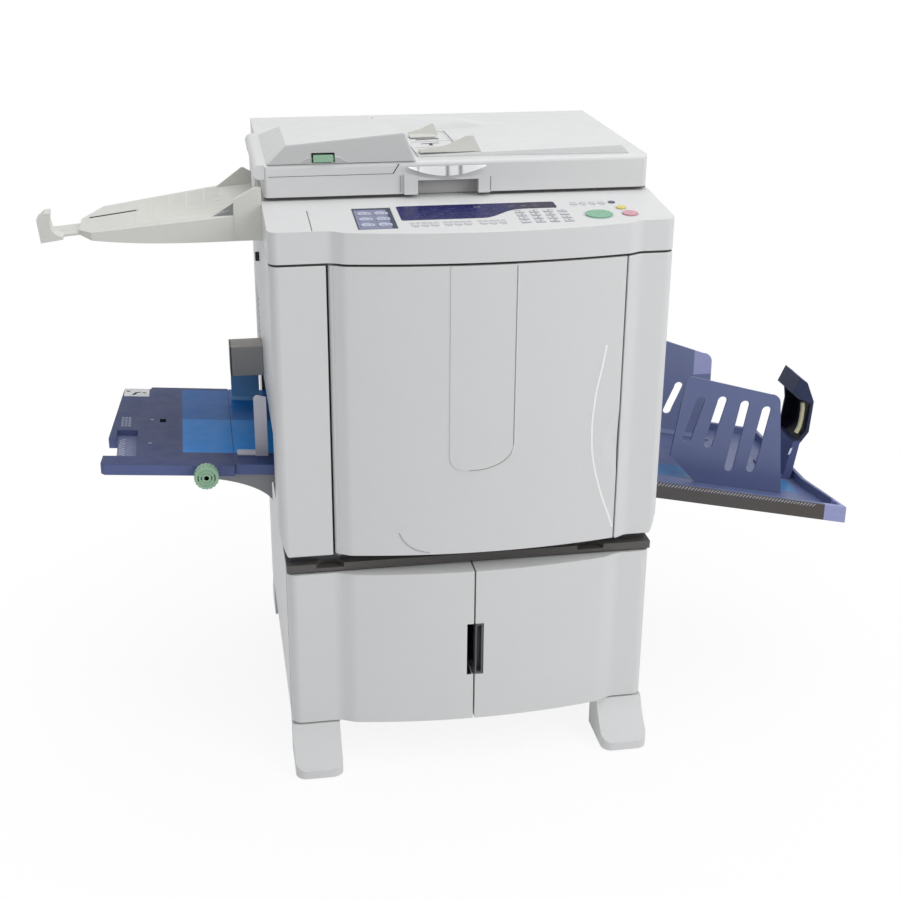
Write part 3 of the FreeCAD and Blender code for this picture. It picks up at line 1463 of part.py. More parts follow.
def make_original_tray():
    """The tray that catches originals at the upper left, and its sliding stop."""
    inner, outer = -float(side + s.original_seat), -float(s.original_outer)
    skin = float(s.original_skin)

    def section(drop, low, reach):
        return prism("xz", (-400, 400), (inner, float(s.original_inner_foot) + low),
                     ("line", (inner, float(s.original_inner_top) - drop)),
                     ("line", (outer - reach, float(s.original_outer_top) - drop)),
                     ("line", (outer - reach, float(s.original_outer_foot) + low)),
                     ("curve", (outer + 90, float(s.original_inner_foot) - 2 + low),
                      (outer + 170, float(s.original_inner_foot) - 2 + low),
                      (inner, float(s.original_inner_foot) + low)))

    def plan(inset):
        f, r = -float(s.original_front) + inset, float(s.original_rear_inner) - inset
        return polygon("xy", (800, 1200), (inner + 1, f), (outer + 22, f),
                       (outer + inset, -float(s.original_outer_front) + inset),
                       (outer + inset, -40), (outer + 34, float(s.original_rear_outer) - inset),
                       (-410, r), (inner + 1, r))

    shell = section(0, 0, 0).common(plan(0))
    hollow = section(skin, -30, 0).common(plan(skin))
    shell = shell.cut(hollow)
    wall, foot, high = -float(side), float(s.original_inner_foot), float(s.original_bracket_top)
    end = wall - float(s.original_bracket)
    bracket = polygon("xz", (-s.original_front - 2, s.original_bracket_thick - s.original_front - 2),
                      (wall, foot), (end + 12, foot), (end + 4, foot + 5), (end, foot + 14),
                      (end, high - 19), (end + 35, high), (wall, high))
    bar = block((inner - 30, wall), (s.original_bracket_thick - s.original_front - 2, s.original_bar_back),
                (s.original_bar_low, s.original_bar_high))
    fin = polygon("xz", (s.original_rear_inner - 12, s.original_rear_inner - 8), (inner - 67, 976), (inner, 982),
                  (inner, 1004), (inner - 14, 1012), (inner - 18, 1012))
    shape = shell.fuse([bracket, bar, fin])
    slit = polygon("xy", (900, 1000), (-624, -44), (-540, -27), (-540, -17), (-624, -34))
    tilt = math.atan2(float(s.original_inner_top - s.original_outer_top),
                      float(s.original_outer - side - s.original_seat))
    y = (s.stop_bar_y, s.stop_bar_y + s.stop_bar_width)
    low = float(s.original_outer_top) - skin - 0.8

    def under(x):
        return low + (x - outer) * math.tan(tilt)

    ends = (outer - 5, outer + 30)
    mouth = polygon("xz", (y[0] - 0.6, y[1] + 0.6), (ends[0], under(ends[0]) - 4.8),
                    (ends[1], under(ends[1]) - 4.8), (ends[1], under(ends[1]) + 0.4),
                    (ends[0], under(ends[0]) + 0.4))
    keep(feature("original_tray_body", shape.cut([slit, mouth]).removeSplitter()), "original_tray")

    reach, root = outer - float(s.stop_out), outer + float(s.stop_root)
    bar = polygon("xz", y, (root, under(root)), (reach, under(reach)), (reach, under(reach) - 4),
                  (root, under(root) - 4))
    blade = prism("xz", (y[0] - 24, y[0] + 10), (reach, under(reach) - 5),
                  ("line", (reach - 4, under(reach) + float(s.stop_height) - 10)),
                  ("line", (reach + 8, under(reach) + float(s.stop_height))),
                  ("line", (reach + float(s.stop_blade) - 8, under(reach) + float(s.stop_height))),
                  ("curve", (reach + 14, under(reach) + 26), (reach + 16, under(reach) + 8),
                   (reach + float(s.stop_blade) + 10, under(reach) + 4)),
                  ("line", (reach + float(s.stop_blade) + 10, under(reach))))
    keep(feature("original_stop_body", bar.fuse(blade).removeSplitter()), "original_stop")


def make_feed():
    """The lifting carrier, the feed table and tray, the guides and the side-shift dial."""
    tilt = math.radians(float(s.feed_tilt))
    fold = -float(s.fold_x)
    top_in = float(s.feed_top_inner)
    thick = float(s.feed_thick)

    def top(x):
        return top_in + (fold - x) * math.tan(tilt)

    def slab(x0, x1, y0, y1, drop, depth):
        return polygon("xz", (y0, y1), (x0, top(x0) - drop), (x1, top(x1) - drop),
                       (x1, top(x1) - drop - depth), (x0, top(x0) - drop - depth))

    front, rear = -float(s.feed_front), float(s.feed_rear)
    outer = -float(s.feed_outer)
    skin = float(s.feed_skin)
    tray = slab(outer, fold - 0.5, front, rear, 0, thick)
    plan = polygon("xy", (float(s.arm_drop), 2 * top_in), (fold, front), (outer + 6, front),
                   (outer, front + 6), (outer + 29, rear - 11), (outer + 78, rear - 11),
                   (outer + 81, rear), (fold, rear))
    tray = tray.common(plan)
    notch = outer + float(s.grip_cut_depth)
    cut_y = -float(s.grip_cut_front)
    cup = (notch - 1, notch - 1 + float(s.grip_cup_width))
    dial_x = -float(s.dial_x)
    cuts = [
        slab(outer - 1, notch, cut_y, -float(s.grip_cut_back), -5, 40),
        slab(cup[0], cup[1], cut_y, -float(s.grip_cup_back), -1, 1 + float(s.grip_cup_depth)),
        slab(cup[1] + 5, fold - 6, front + 4, rear - 16, skin, 40),
        slab(outer + 34, cup[1] + 6, 8 - float(s.grip_cup_back), rear - 16, skin, 40),
        block((dial_x - 8, dial_x + 8), (front - 1, front + 5),
              (top(dial_x) - thick - 20, top(dial_x) - float(s.dial_depth) + float(s.dial_shaft) + 2.5)),
    ]
    keep(feature("feed_tray_body", tray.cut(cuts).removeSplitter()), "feed_tray")

    edge = float(s.table_front)
    table = slab(fold + 0.5, -float(s.table_inner), -edge, edge, 0, thick)
    under = slab(fold + 8, -float(s.table_inner) - 6, -edge + 8, edge - 8, skin, 40)
    bars = [slab(fold + 0.5, -float(s.table_inner), y - 9, y + 9, 0, thick)
            for y in (-float(s.arm_y), float(s.arm_y))]
    keep(feature("feed_table_body", table.cut(under).fuse(bars).removeSplitter()), "feed_table")

    make_carrier(top, thick)
    for name, y, left, high in (("front", -s.feed_guide_y, s.feed_guide_post, s.feed_guide_front_rise),
                                ("rear", s.feed_guide_y, s.feed_guide_left, s.feed_guide_rear_rise)):
        make_feed_guide(name, float(y), -float(left), top_in + float(high), top)


def make_carrier(top, thick):
    """The yoke that lifts the feed table, with an arm under each side."""
    reach, inner = -float(s.arm_reach), -float(s.yoke_x)
    gap = float(s.arm_gap)
    depth = float(s.arm_depth)
    wall = -float(side) - 4
    arms = []
    for y in (-float(s.arm_y), float(s.arm_y)):
        half = float(s.arm_width) / 2

        def at(x, drop=0):
            return (x, top(x) - thick - gap - drop)

        arms.append(prism("xz", (y - half, y + half), at(inner), ("line", at(reach)),
                          ("line", at(reach, 10)),
                          ("curve", at(-400, 12), (wall - 14, top(wall) - thick - 30),
                           at(wall, float(s.arm_drop))),
                          ("line", at(wall, depth)), ("line", at(inner, depth))))
    yoke = block((inner, inner + float(s.yoke_thick)), (-float(s.arm_y) - 7, float(s.arm_y) + 7),
                 (top(inner) - thick - depth, top(inner) - thick - depth + float(s.yoke_height)))
    shaft = float(s.dial_shaft)
    dial_z = top(-float(s.dial_x)) - float(s.dial_depth)
    bore = Part.makeCylinder(shaft + 0.06, 60, Vector(-float(s.dial_x), -float(s.arm_y) - 30,
                                                      dial_z), Vector(0, 1, 0))
    boss = block((-s.dial_x - s.dial_boss, s.dial_boss - s.dial_x),
                 (-s.arm_y - s.arm_width / 2 - 2, s.arm_width / 2 + 2 - s.arm_y),
                 (top(-float(s.dial_x)) - thick - 4, s.dial_boss_top))
    shape = arms[0].fuse([arms[1], yoke, boss]).cut(bore)
    for sign in (-1, 1):
        foot = Vector(-float(s.lift_rod_x), sign * float(s.lift_rod_y), top(inner) - thick - depth)
        high = float(s.yoke_height)
        shape = shape.fuse(Part.makeCylinder(float(s.lift_boss), high, foot))
        shape = shape.cut(Part.makeCylinder(float(s.small_shaft + s.run_gap), high, foot))
    keep(feature("carrier_body", shape.removeSplitter()), "feed_carrier")

    start = -float(s.arm_y) - float(s.arm_width) / 2 - 3
    front = -float(s.feed_front + s.dial_gap)
    centre = (-float(s.dial_x), dial_z)
    knob = Part.makeCylinder(float(s.dial_radius), float(s.dial_length),
                             Vector(centre[0], front - float(s.dial_length), centre[1]), Vector(0, 1, 0))
    grooves = []
    for i in range(18):
        turn = 2 * math.pi * i / 18
        grooves.append(Part.makeCylinder(1.6, float(s.dial_length) + 2,
                                         Vector(centre[0] + (float(s.dial_radius) + 0.5) * math.cos(turn),
                                                front - float(s.dial_length) - 1,
                                                centre[1] + (float(s.dial_radius) + 0.5) * math.sin(turn)),
                                         Vector(0, 1, 0)))
    stem = Part.makeCylinder(shaft, -float(s.arm_y) + 8 - front,
                             Vector(centre[0], front - 1, centre[1]), Vector(0, 1, 0))
    keep(feature("dial_body", knob.cut(grooves).fuse(stem).removeSplitter()), "shift_dial")


def make_feed_guide(name, y, left, high, top):
    """An upright side guide on the feed table, with a foot under the paper."""
    heel, right = -float(s.feed_guide_left), -float(s.feed_guide_right)
    gap, thick = float(s.guide_gap), float(s.feed_guide_thick)
    sign = 1 if y < 0 else -1
    plate = prism("xz", sorted((y, y - sign * thick)), (left, top(left) + gap),
                  ("line", (right, top(right) + gap)),
                  ("line", (right, high - 4)), ("line", (left + 8, high)),
                  ("arc", (left + 2, high - 2), (left, high - 8)))
    foot = polygon("xz", sorted((y - sign, y + sign * float(s.feed_guide_foot))), (heel, top(heel) + gap),
                   (right, top(right) + gap), (right, top(right) + gap + 2), (heel, top(heel) + gap + 2))
    keep(feature("feed_guide_" + name + "_body", plate.fuse(foot).removeSplitter()), "feed_guide_" + name)


def make_feed_head():
    """The grey housing over the inner end of the feed tray."""
    outer = box("head_block", (-s.head_left, -side), (s.head_front, s.head_rear),
                (s.head_low, s.head_high))
    inner = box("head_hollow", (s.cover_wall - s.head_left, 1 - side),
                (s.head_front + s.cover_wall, s.head_rear - s.cover_wall),
                (s.head_low - 1, s.head_high - s.cover_wall))
    keep(cut("feed_head_body", outer, inner), "feed_housing")


def make_receiving():
    """The receiving tray at the right with its two fences and end stopper."""
    tilt = math.radians(float(s.catch_tilt))
    inner, outer = float(side), float(s.catch_outer)
    thick, rim = float(s.catch_thick), float(s.catch_rim)
    floor, wall = float(s.catch_floor), float(s.catch_wall)
    half = float(s.catch_half)

    def top(x):
        return float(s.catch_inner_top) - (x - inner) * math.tan(tilt)

    def slab(x0, x1, y0, y1, drop, depth):
        return polygon("xz", (y0, y1), (x0, top(x0) - drop), (x1, top(x1) - drop),
                       (x1, top(x1) - drop - depth), (x0, top(x0) - drop - depth))

    tray = slab(inner, outer, -half, half, 0, thick)
    dish = slab(inner + wall, outer - 12, -half + rim, half - rim, -1, 1 + floor)
    under = slab(inner + 8, outer - 8, -half + 6, half - 6, floor + 5, thick)
    short, turn = float(s.catch_short), float(s.catch_slant) - half

    def outline(inset):
        return polygon("xy", (0, s.deck_top), (inner - 1, inset - half), (outer - inset, inset - half),
                       (short - inset, turn), (short - inset, half - inset), (inner - 1, half - inset))

    dish = dish.common(outline(rim))
    under = under.common(outline(6))
    tray = tray.common(outline(0)).cut([dish, under])
    keep(feature("catch_body", tray.removeSplitter()), "receiving_tray")

    def base(x):
        return top(x) - floor + float(s.guide_gap)

    for name, y, sign in (("front", -s.fence_front_y, 1), ("rear", s.fence_rear_y, -1)):
        at_front = name == "front"
        left, right = float(s.fence_left), float(s.fence_right if at_front else s.rear_fence_right)
        shift = 0 if at_front else 9
        high, low = float(s.fence_high) - shift, float(s.fence_low) - shift
        lean = 18 if at_front else 2
        y_low, y_high = sorted((float(y), float(y) - sign * float(s.fence_thick)))
        plate = prism("xz", (y_low, y_high), (left + 52, base(left + 52)), ("line", (right, base(right))),
                      ("line", (right - lean, low - 16)),
                      ("arc", (right - lean - 5, low - 4), (right - lean - 18, low + 2)),
                      ("line", (float(s.fence_top_left) + 12, high)),
                      ("arc", (float(s.fence_top_left) + 3, high - 3), (float(s.fence_top_left) - 2, high - 12)),
                      ("line", (left, float(s.fence_root))))
        slots = []
        slot = float(s.fence_slot)
        for x, head, heel in FENCE_SLOTS[name]:
            slots.append(prism("xz", (y_low - 1, y_high + 1), (x - slot - SLOT_LEAN, heel),
                               ("arc", (x - SLOT_LEAN, heel - slot), (x + slot - SLOT_LEAN, heel)),
                               ("line", (x + slot, head)), ("arc", (x, head + slot), (x - slot, head))))
        ends = sorted((float(y) - sign, float(y) + sign * float(s.fence_foot)))
        foot = polygon("xz", ends, (left + 60, base(left + 60)), (right - 6, base(right - 6)),
                       (right - 6, base(right - 6) + 3), (left + 60, base(left + 60) + 3))
        keep(feature("fence_" + name, plate.cut(slots).fuse(foot).removeSplitter()),
             "receiving_guide_" + name)

    x = float(s.stopper_x)
    wide = float(s.stopper_half)
    high = float(s.stopper_top)
    spine = prism("xz", (-wide, wide), (x - 20, base(x - 20)), ("line", (x - 3, base(x - 3))),
                  ("line", (x + 9, 458)), ("line", (x + 26, 482)), ("line", (x + 30, 546)),
                  ("line", (x + 13, high - 11)), ("line", (x - 2, high)), ("line", (x - 16, high - 32)),
                  ("line", (x - 2, high - 40)), ("line", (x + 2, 530)), ("line", (x - 5, 468)))
    pocket = prism("xz", (-wide - 1, wide - 5), (x - 60, high - 34), ("line", (x - 4, high - 44)),
                   ("line", (x + 8, high - 47)), ("line", (x + 23, 542)), ("line", (x + 19, 487)),
                   ("line", (x + 4, 466)), ("line", (x - 60, 466)))
    foot = polygon("xz", (-wide, wide), (x - 52, base(x - 52)), (x - 8, base(x - 8)), (x - 8, base(x - 8) + 6),
                   (x - 52, base(x - 52) + 3))
    keep(feature("stopper_body", spine.cut(pocket).fuse(foot).removeSplitter()), "paper_stopper")


def gear(centre, teeth, y0, y1, offset):
    """A spur gear with flat-flanked teeth and running play."""
    module = float(s.gear_module)
    pitch = module * teeth / 2
    tip, root = pitch + 0.8 * module, pitch - 1.1 * module
    play = float(s.gear_play) / pitch
    step = 2 * math.pi / teeth
    points = []
    for i in range(int(teeth)):
        middle = offset + i * step
        for radius, half in ((root, step * 0.33 - play / 2), (tip, step * 0.13 - play / 2)):
            points.append((radius, middle - half))
        for radius, half in ((tip, step * 0.13 - play / 2), (root, step * 0.33 - play / 2)):
            points.append((radius, middle + half))
    flat = [(centre[0] + r * math.cos(a), centre[1] + r * math.sin(a)) for r, a in points]
    return polygon("xz", (y0, y1), *flat)


def make_print_unit():
    """The drum on its carrier, the rollers, the drive and the master unit."""
    x, z = float(s.drum_x), float(s.drum_z)
    half, skin = float(s.drum_half), float(s.drum_skin)
    radius, gap = float(s.drum_radius), float(s.run_gap)
    along = Vector(0, 1, 0)

    def disc(r, y0, y1, cx=x, cz=z):
        return Part.makeCylinder(float(r), float(y1) - float(y0), Vector(float(cx), float(y0), float(cz)), along)

    hub = float(s.hub_radius)
    screen = disc(radius, -half, half).cut(disc(radius - skin, -half - 1, half + 1))
    near = disc(radius - 1, -half, -half + 8).cut(disc(hub + gap, -half - 1, -half + 9))
    far = disc(radius - 1, half - 6, half)
    stub = disc(s.stub_radius, half - 1, rear_plate_back + 4)
    gear_y = half + 6
    width = float(s.gear_width)
    wheel = gear((x, z), float(s.drum_teeth), gear_y, gear_y + width, 0)
    neck = disc(30, half - 1, gear_y + 1)
    keep(feature("drum_body", screen.fuse([near, far, stub, neck, wheel]).removeSplitter()), "print_drum")

    plate_y = -float(s.front_plate)
    thick = float(s.carrier_thick)
    bore = float(s.hub_bore)
    carrier = disc(s.carrier_radius, plate_y - thick, plate_y).fuse(
        disc(hub, plate_y - 1, plate_y + float(s.hub_length)))
    grip = block((x - 46, x + 46), (plate_y - thick - 16, plate_y - thick + 1), (z - 84, z - 62))
    hold = block((x - 38, x + 38), (plate_y - thick - 12, plate_y - thick + 1), (z - 90, z - 66))
    carrier = carrier.fuse(grip.cut(hold)).cut(disc(bore, -320, 0))
    keep(feature("carrier_hub", carrier.removeSplitter()), "drum_carrier")

    start = plate_y - thick
    cap = disc(s.cartridge_cap, start - 10, start)
    bottle = disc(s.cartridge_radius, start - 1, start + float(s.cartridge_length))
    tab = block((x - 5, x + 5), (start - 18, start - 9), (z - 30, z + 30))
    keep(feature("cartridge_body", bottle.fuse([cap, tab]).removeSplitter()), "ink_cartridge")

    shaft = (-s.front_plate - 3, rear_plate_back + 3)
    for name, label, px, pz, r, wide, core in (
            ("press", "pressure_roller", s.drum_x, press_z(), s.press_radius, s.press_half, s.press_shaft),
            ("timing", "timing_roller", s.timing_x, s.timing_z, s.timing_radius, s.timing_half,
             s.small_shaft),
            ("pickup", "pickup_roller", s.pickup_x, s.pickup_z, s.pickup_radius, s.pickup_half,
             s.small_shaft),
            ("master", "master_roll", s.roll_x, s.roll_z, s.roll_radius, s.roll_half, s.small_shaft)):
        keep(fuse(name + "_roller_body", rod(name + "_sleeve", r, px, (-wide, wide), pz),
                  rod(name + "_shaft", core, px, shaft, pz)), label)

    px, pz = (float(v) for v in pinion_place())
    turn = math.radians(float(s.pinion_turn))
    step = 2 * math.pi / float(s.pinion_teeth)
    drum_step = 2 * math.pi / float(s.drum_teeth)
    ahead = (turn % drum_step) / drum_step
    offset = turn + math.pi + step * (0.5 - ahead * -1)
    pinion = gear((px, pz), float(s.pinion_teeth), gear_y, gear_y + width, offset)
    pinion = pinion.fuse(disc(s.stub_radius, gear_y, rear_plate_back + 3, px, pz))
    keep(feature("pinion_body", pinion.removeSplitter()), "drive_pinion")

    back = float(rear_plate_back)
    motor = disc(s.motor_radius, back + 4, back + float(s.motor_length), px, pz)
    flange = disc(float(s.motor_radius) + 12, back, back + 4.5, px, pz).cut(disc(12, back - 1, back + 4, px, pz))
    keep(feature("motor_body", motor.fuse(flange).removeSplitter()), "main_motor")

    span = (front_plate_back, s.rear_plate)
    keep(box("thermal_bar", (s.head_bar_x, s.head_bar_x + s.head_bar_width), span,
             (s.head_bar_low, s.head_bar_low + s.head_bar_height)), "thermal_head")
    wall = s.waste_wall
    waste_x = (s.waste_left, s.waste_left + s.waste_width)
    waste_z = (s.waste_low, s.waste_low + s.waste_height)
    keep(cut("waste_body", box("waste_block", waste_x, span, waste_z),
             box("waste_hollow", (waste_x[0] - 1, waste_x[1] - wall), (span[0] + wall, span[1] - wall),
                 (waste_z[0] + wall, waste_z[1] - wall))), "used_master_box")
    exit_z = (s.exit_top - s.exit_height, s.exit_top)
    bed = box("exit_bed", (s.exit_left, s.exit_right), span, exit_z)
    grooves = [box("exit_groove_%d" % i, (s.exit_left - 1, s.exit_right + 1), (y, y + 12),
                   (s.exit_top - 3, s.exit_top + 1)) for i, y in enumerate((-120, -66, -12, 42, 96))]
    keep(cut("exit_body", bed, *grooves), "exit_belt_unit")


def make_electrics():
    """The control board and power supply, and the rocker power switch."""
    back = rear_plate_back
    stand_off = 8
    board = box("board_sheet", (s.board_left, s.board_left + s.board_width),
                (back + stand_off, back + stand_off + s.board_thick),
                (s.board_low, s.board_low + s.board_height))
    posts = [rod("board_post_%d" % i, 4, s.board_left + x, (back, back + stand_off + 1), s.board_low + z)
             for i, (x, z) in enumerate(((10, 10), (200, 10), (10, 230), (200, 230)))]
    chips = [box("chip_%d" % i, (s.board_left + x, s.board_left + x + w),
                 (back + stand_off + 1, back + stand_off + s.board_thick + t), (s.board_low + z, s.board_low + z + h))
             for i, (x, z, w, h, t) in enumerate(((30, 40, 50, 50, 6), (100, 60, 70, 30, 10),
                                                  (40, 130, 60, 60, 5), (130, 120, 50, 90, 14)))]
    supply = box("supply_case", (s.supply_left, s.supply_left + s.supply_width),
                 (back, back + s.supply_depth), (s.supply_low, s.supply_low + s.supply_height))
    middle = s.supply_left + s.supply_width / 2
    up = s.supply_low + s.supply_height / 2
    w, h = s.inlet_width / 2, s.inlet_height / 2
    neck = box("inlet_neck", (middle - w - 3, middle + w + 3), (back + s.supply_depth - 1, s.body_back),
               (up - h - 3, up + h + 3))
    socket = box("inlet_socket", (middle - w, middle + w), (s.body_back - 20, s.body_back + 1),
                 (up - h, up + h))
    blades = [box("inlet_blade_%d" % i, (middle + x - 1, middle + x + 1), (s.body_back - 21, s.body_back - 5),
                  (up - 3, up + 3)) for i, x in enumerate((-8, 0, 8))]
    body = cut("supply_body", fuse("supply_shell", supply, neck), socket)
    keep(fuse("electrics_body", board, *(posts + chips + [body] + blades)), "electrical_unit")

    y, z, r = float(s.switch_y), float(s.switch_z), float(s.switch_radius)
    half = float(s.switch_length) / 2 - 0.3
    x = float(side) - 7
    drum = Part.makeCylinder(r, 2 * half, Vector(x, y - half, z), Vector(0, 1, 0))
    notch = polygon("xz", (y - 30, y + 30), (x + 5.2, z), (x + 20, z + 9), (x + 20, z - 9))
    keep(feature("switch_rocker", drum.cut(notch)), "power_switch")


make_stand()
make_frame()
make_pins()
make_covers()
make_panel()
make_scanner()
make_lid()
make_original_tray()
make_feed()
make_feed_head()
make_receiving()
make_print_unit()
make_electrics()
doc.recompute()

failed = [o.Name for o in doc.Objects if "Invalid" in o.State or "Error" in o.State]
if failed:
    raise RuntimeError("objects that failed: " + ", ".join(failed))
for part in subparts:
    if part.Shape.isNull() or not part.Shape.isValid() or not part.Shape.Solids:
        raise RuntimeError("sub-part without a sound shape: " + part.Label)

os.makedirs("parts", exist_ok=True)
for part in subparts:
    part.Shape.exportStep(os.path.join("parts", part.Label + ".step"))
print(len(subparts), "sub-parts written")
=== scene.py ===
"""Looks for a floor-standing digital duplicator: its finishes, small parts, stage and camera."""

import math

import bmesh
import bpy
from mathutils import Matrix, Vector


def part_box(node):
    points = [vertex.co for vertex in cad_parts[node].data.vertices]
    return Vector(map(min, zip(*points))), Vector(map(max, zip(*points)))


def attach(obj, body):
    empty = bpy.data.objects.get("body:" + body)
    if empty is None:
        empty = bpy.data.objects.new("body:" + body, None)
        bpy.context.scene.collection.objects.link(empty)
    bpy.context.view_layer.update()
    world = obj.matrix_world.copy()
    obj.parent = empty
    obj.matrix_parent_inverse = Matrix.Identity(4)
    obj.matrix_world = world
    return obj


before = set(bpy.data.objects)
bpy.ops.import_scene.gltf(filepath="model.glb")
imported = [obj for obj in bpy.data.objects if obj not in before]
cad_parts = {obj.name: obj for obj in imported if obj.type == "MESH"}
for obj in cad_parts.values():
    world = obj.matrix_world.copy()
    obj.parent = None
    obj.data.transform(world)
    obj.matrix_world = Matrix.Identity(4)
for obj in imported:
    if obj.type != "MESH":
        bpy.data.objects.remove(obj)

bl_info = {
    "name": "Digital duplicator looks",
    "version": (1, 0, 0),
    "blender": (4, 5, 0),
    "location": "View3D > Sidebar > Duplicator",
    "description": "Finishes, printed panel, tray fittings, stage and camera for the duplicator",
    "category": "Object",
}


# ------------------------------------------------------------------ places

def _middle(node):
    low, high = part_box(node)
    return (low.x + high.x) / 2


BODY_MIDDLE = _middle("control_panel")
PANEL_FACE = -302.0
PANEL_FRONT_TOP = 987.0
PANEL_SLOPE = math.atan2(13.0, 161.0)
HANDLE_LEFT, HANDLE_RIGHT, HANDLE_TOP = -95.0, 52.0, 1052.0
BROW_DROP = 15.0
BOW_CENTRE = 20.0
BOW_FACE = -335.0
BOW_RADIUS = 1306.7
CATCH_SLOPE = math.tan(math.radians(11.8))
CATCH_INNER_TOP = 475.6
FEED_SLOPE = math.tan(math.radians(4.4))
FEED_INNER_TOP = 551.0


def spot(x, y, z):
    """A point in millimetres from the middle of the body, as metres in the row frame."""
    return Vector((BODY_MIDDLE + x / 1000, y / 1000, z / 1000))


def on_panel(u, v, h=0.0):
    """A point across, up and above the sloping control panel."""
    c, s = math.cos(PANEL_SLOPE), math.sin(PANEL_SLOPE)
    return spot(u, PANEL_FACE + v * c - h * s, PANEL_FRONT_TOP + v * s + h * c)


def on_catch(x, y, h=0.0):
    """A point above the floor of the receiving tray's dish."""
    return spot(x, y, CATCH_INNER_TOP - (x - 335) * CATCH_SLOPE - 18 + h)


def on_feed(x, y, h=0.0):
    """A point above the top face of the feed tray."""
    return spot(x, y, FEED_INNER_TOP + (-402 - x) * FEED_SLOPE + h)


def on_lid(x, y, h=0.0):
    return spot(x, y, 1061 + h)


def on_front(x, z, h=0.0):
    """A point ahead of the lid's front face."""
    return spot(x, -141 - h, z)


def on_left(y, z, h=0.0):
    return spot(-335 - h, y, z)


def on_right(y, z, h=0.0):
    return spot(335 + h, y, z)


def on_back(x, z, h=0.0):
    return spot(x, 335 + h, z)


# ------------------------------------------------------------------ settings

def paint(red, green, blue):
    """A colour as painted, from screen bytes to Blender's linear values."""
    def line(byte):
        c = byte / 255
        return c / 12.92 if c <= 0.04045 else ((c + 0.055) / 1.055) ** 2.4
    return (line(red), line(green), line(blue))


def colour_choice(name, text, rgb):
    return bpy.props.FloatVectorProperty(name=name, description=text, subtype="COLOR", size=3,
                                         min=0.0, max=1.0, default=paint(*rgb))


def length_choice(name, text, millimetres, low=0.0, high=1.0):
    return bpy.props.FloatProperty(name=name, description=text, subtype="DISTANCE", unit="LENGTH",
                                   default=millimetres / 1000, min=low, max=high, precision=5)


class DuplicatorColours(bpy.types.PropertyGroup):
    """The colours that a user would change."""

    shell: colour_choice("Shell", "Covers, lid, panel and skids", (217, 217, 217))
    stand: colour_choice("Stand", "Painted steel of the cabinet", (215, 215, 215))
    tray: colour_choice("Original tray", "White tray and document guides", (214, 214, 208))
    ledge: colour_choice("Ledge", "Grey plate between body and stand", (88, 86, 84))
    grip: colour_choice("Door grip", "Cup at the edge of the stand door", (96, 96, 100))
    navy: colour_choice("Feed tray", "Navy plastic of the paper feed tray", (94, 104, 149))
    azure: colour_choice("Feed plates", "Bright blue plates under the paper", (34, 140, 226))
    catch: colour_choice("Receiving tray", "Blue-violet plastic of the receiving tray", (96, 106, 146))
    strip: colour_choice("Tray strip", "Grey-brown strip on the receiving tray", (72, 67, 63))
    cap: colour_choice("Tray cap", "Pale lilac end cap and rims", (150, 154, 198))
    stopper: colour_choice("Stopper", "Hood of the sheet stopper", (46, 54, 80))
    foam: colour_choice("Foam", "Foam strip of the sheet stopper", (228, 222, 184))
    mint: colour_choice("Mint", "Side-shift knob and the release lever", (150, 188, 158))
    start: colour_choice("Start key", "Large green key", (126, 178, 148))
    stop: colour_choice("Stop key", "Pink key", (212, 152, 166))
    test: colour_choice("Test key", "Yellow key", (222, 210, 104))
    keys: colour_choice("Keys", "Grey-white number and function keys", (206, 207, 212))
    screen: colour_choice("Screen", "Dark blue display window", (24, 24, 84))
    lines: colour_choice("Screen lines", "Pale figures on the display", (74, 80, 146))
    ink: colour_choice("Panel print", "Dark grey marks printed on the panel", (56, 58, 66))
    slate: colour_choice("Mode field", "Blue-grey field behind the mode keys", (138, 141, 166))
    housing: colour_choice("Feed head", "Grey housing over the feed rollers", (166, 163, 158))
    steel: colour_choice("Frame", "Dark painted steel of the frame", (92, 94, 98))
    rubber: colour_choice("Rubber", "Feet and black rollers", (34, 34, 35))


class DuplicatorSizes(bpy.types.PropertyGroup):
    """The sizes of small parts and edges."""

    shell_edge: length_choice("Shell edge", "Rounding of the covers' edges", 2.0)
    lid_edge: length_choice("Lid edge", "Rounding of the lid and feeder edges", 3.2)
    tray_edge: length_choice("Tray edge", "Rounding of the trays' edges", 1.4)
    small_edge: length_choice("Small edge", "Rounding of keys, levers and guides", 0.6)
    seam: length_choice("Seam", "Width of a dark parting line", 1.1)
    print_line: length_choice("Print line", "Thickness of printed lines on the panel", 1.15)
    print_film: length_choice("Print film", "How far print stands off its plate", 0.12)
    digit: length_choice("Digit", "Height of the digits on the number keys", 6.2)
    foam: length_choice("Foam", "Thickness of the foam strip", 9.0)
    rib_pitch: length_choice("Rib pitch", "Spacing of the ribs on the original tray", 7.0)
    hatch_pitch: length_choice("Hatch pitch", "Spacing of the grip hatches on the tray's edge", 6.4)


class DuplicatorStage(bpy.types.PropertyGroup):
    """The floor, the lamps and the camera."""

    lens: bpy.props.FloatProperty(name="Lens", description="Focal length on a 36 mm wide frame",
                                  subtype="DISTANCE_CAMERA", default=58.71, min=10, max=300)
    key_power: bpy.props.FloatProperty(name="Key lamp", description="Large lamp at the upper right",
                                       subtype="POWER", default=56.0, min=0, max=2000)
    top_power: bpy.props.FloatProperty(name="Top lamp", description="Soft lamp overhead",
                                       subtype="POWER", default=36.0, min=0, max=2000)
    fill_power: bpy.props.FloatProperty(name="Fill lamp", description="Weak lamp at the left",
                                        subtype="POWER", default=6.0, min=0, max=2000)
    sky: bpy.props.FloatProperty(name="Room light", description="Even light from all round",
                                 default=0.44, min=0, max=2)
    floor: colour_choice("Floor", "Colour of the floor and backdrop", (250, 250, 250))
    floor_glow: bpy.props.FloatProperty(name="Floor glow", description="Share of plain white beside the object",
                                        subtype="FACTOR", default=0.88, min=0, max=1)


def colours():
    return bpy.context.scene.duplicator_colours


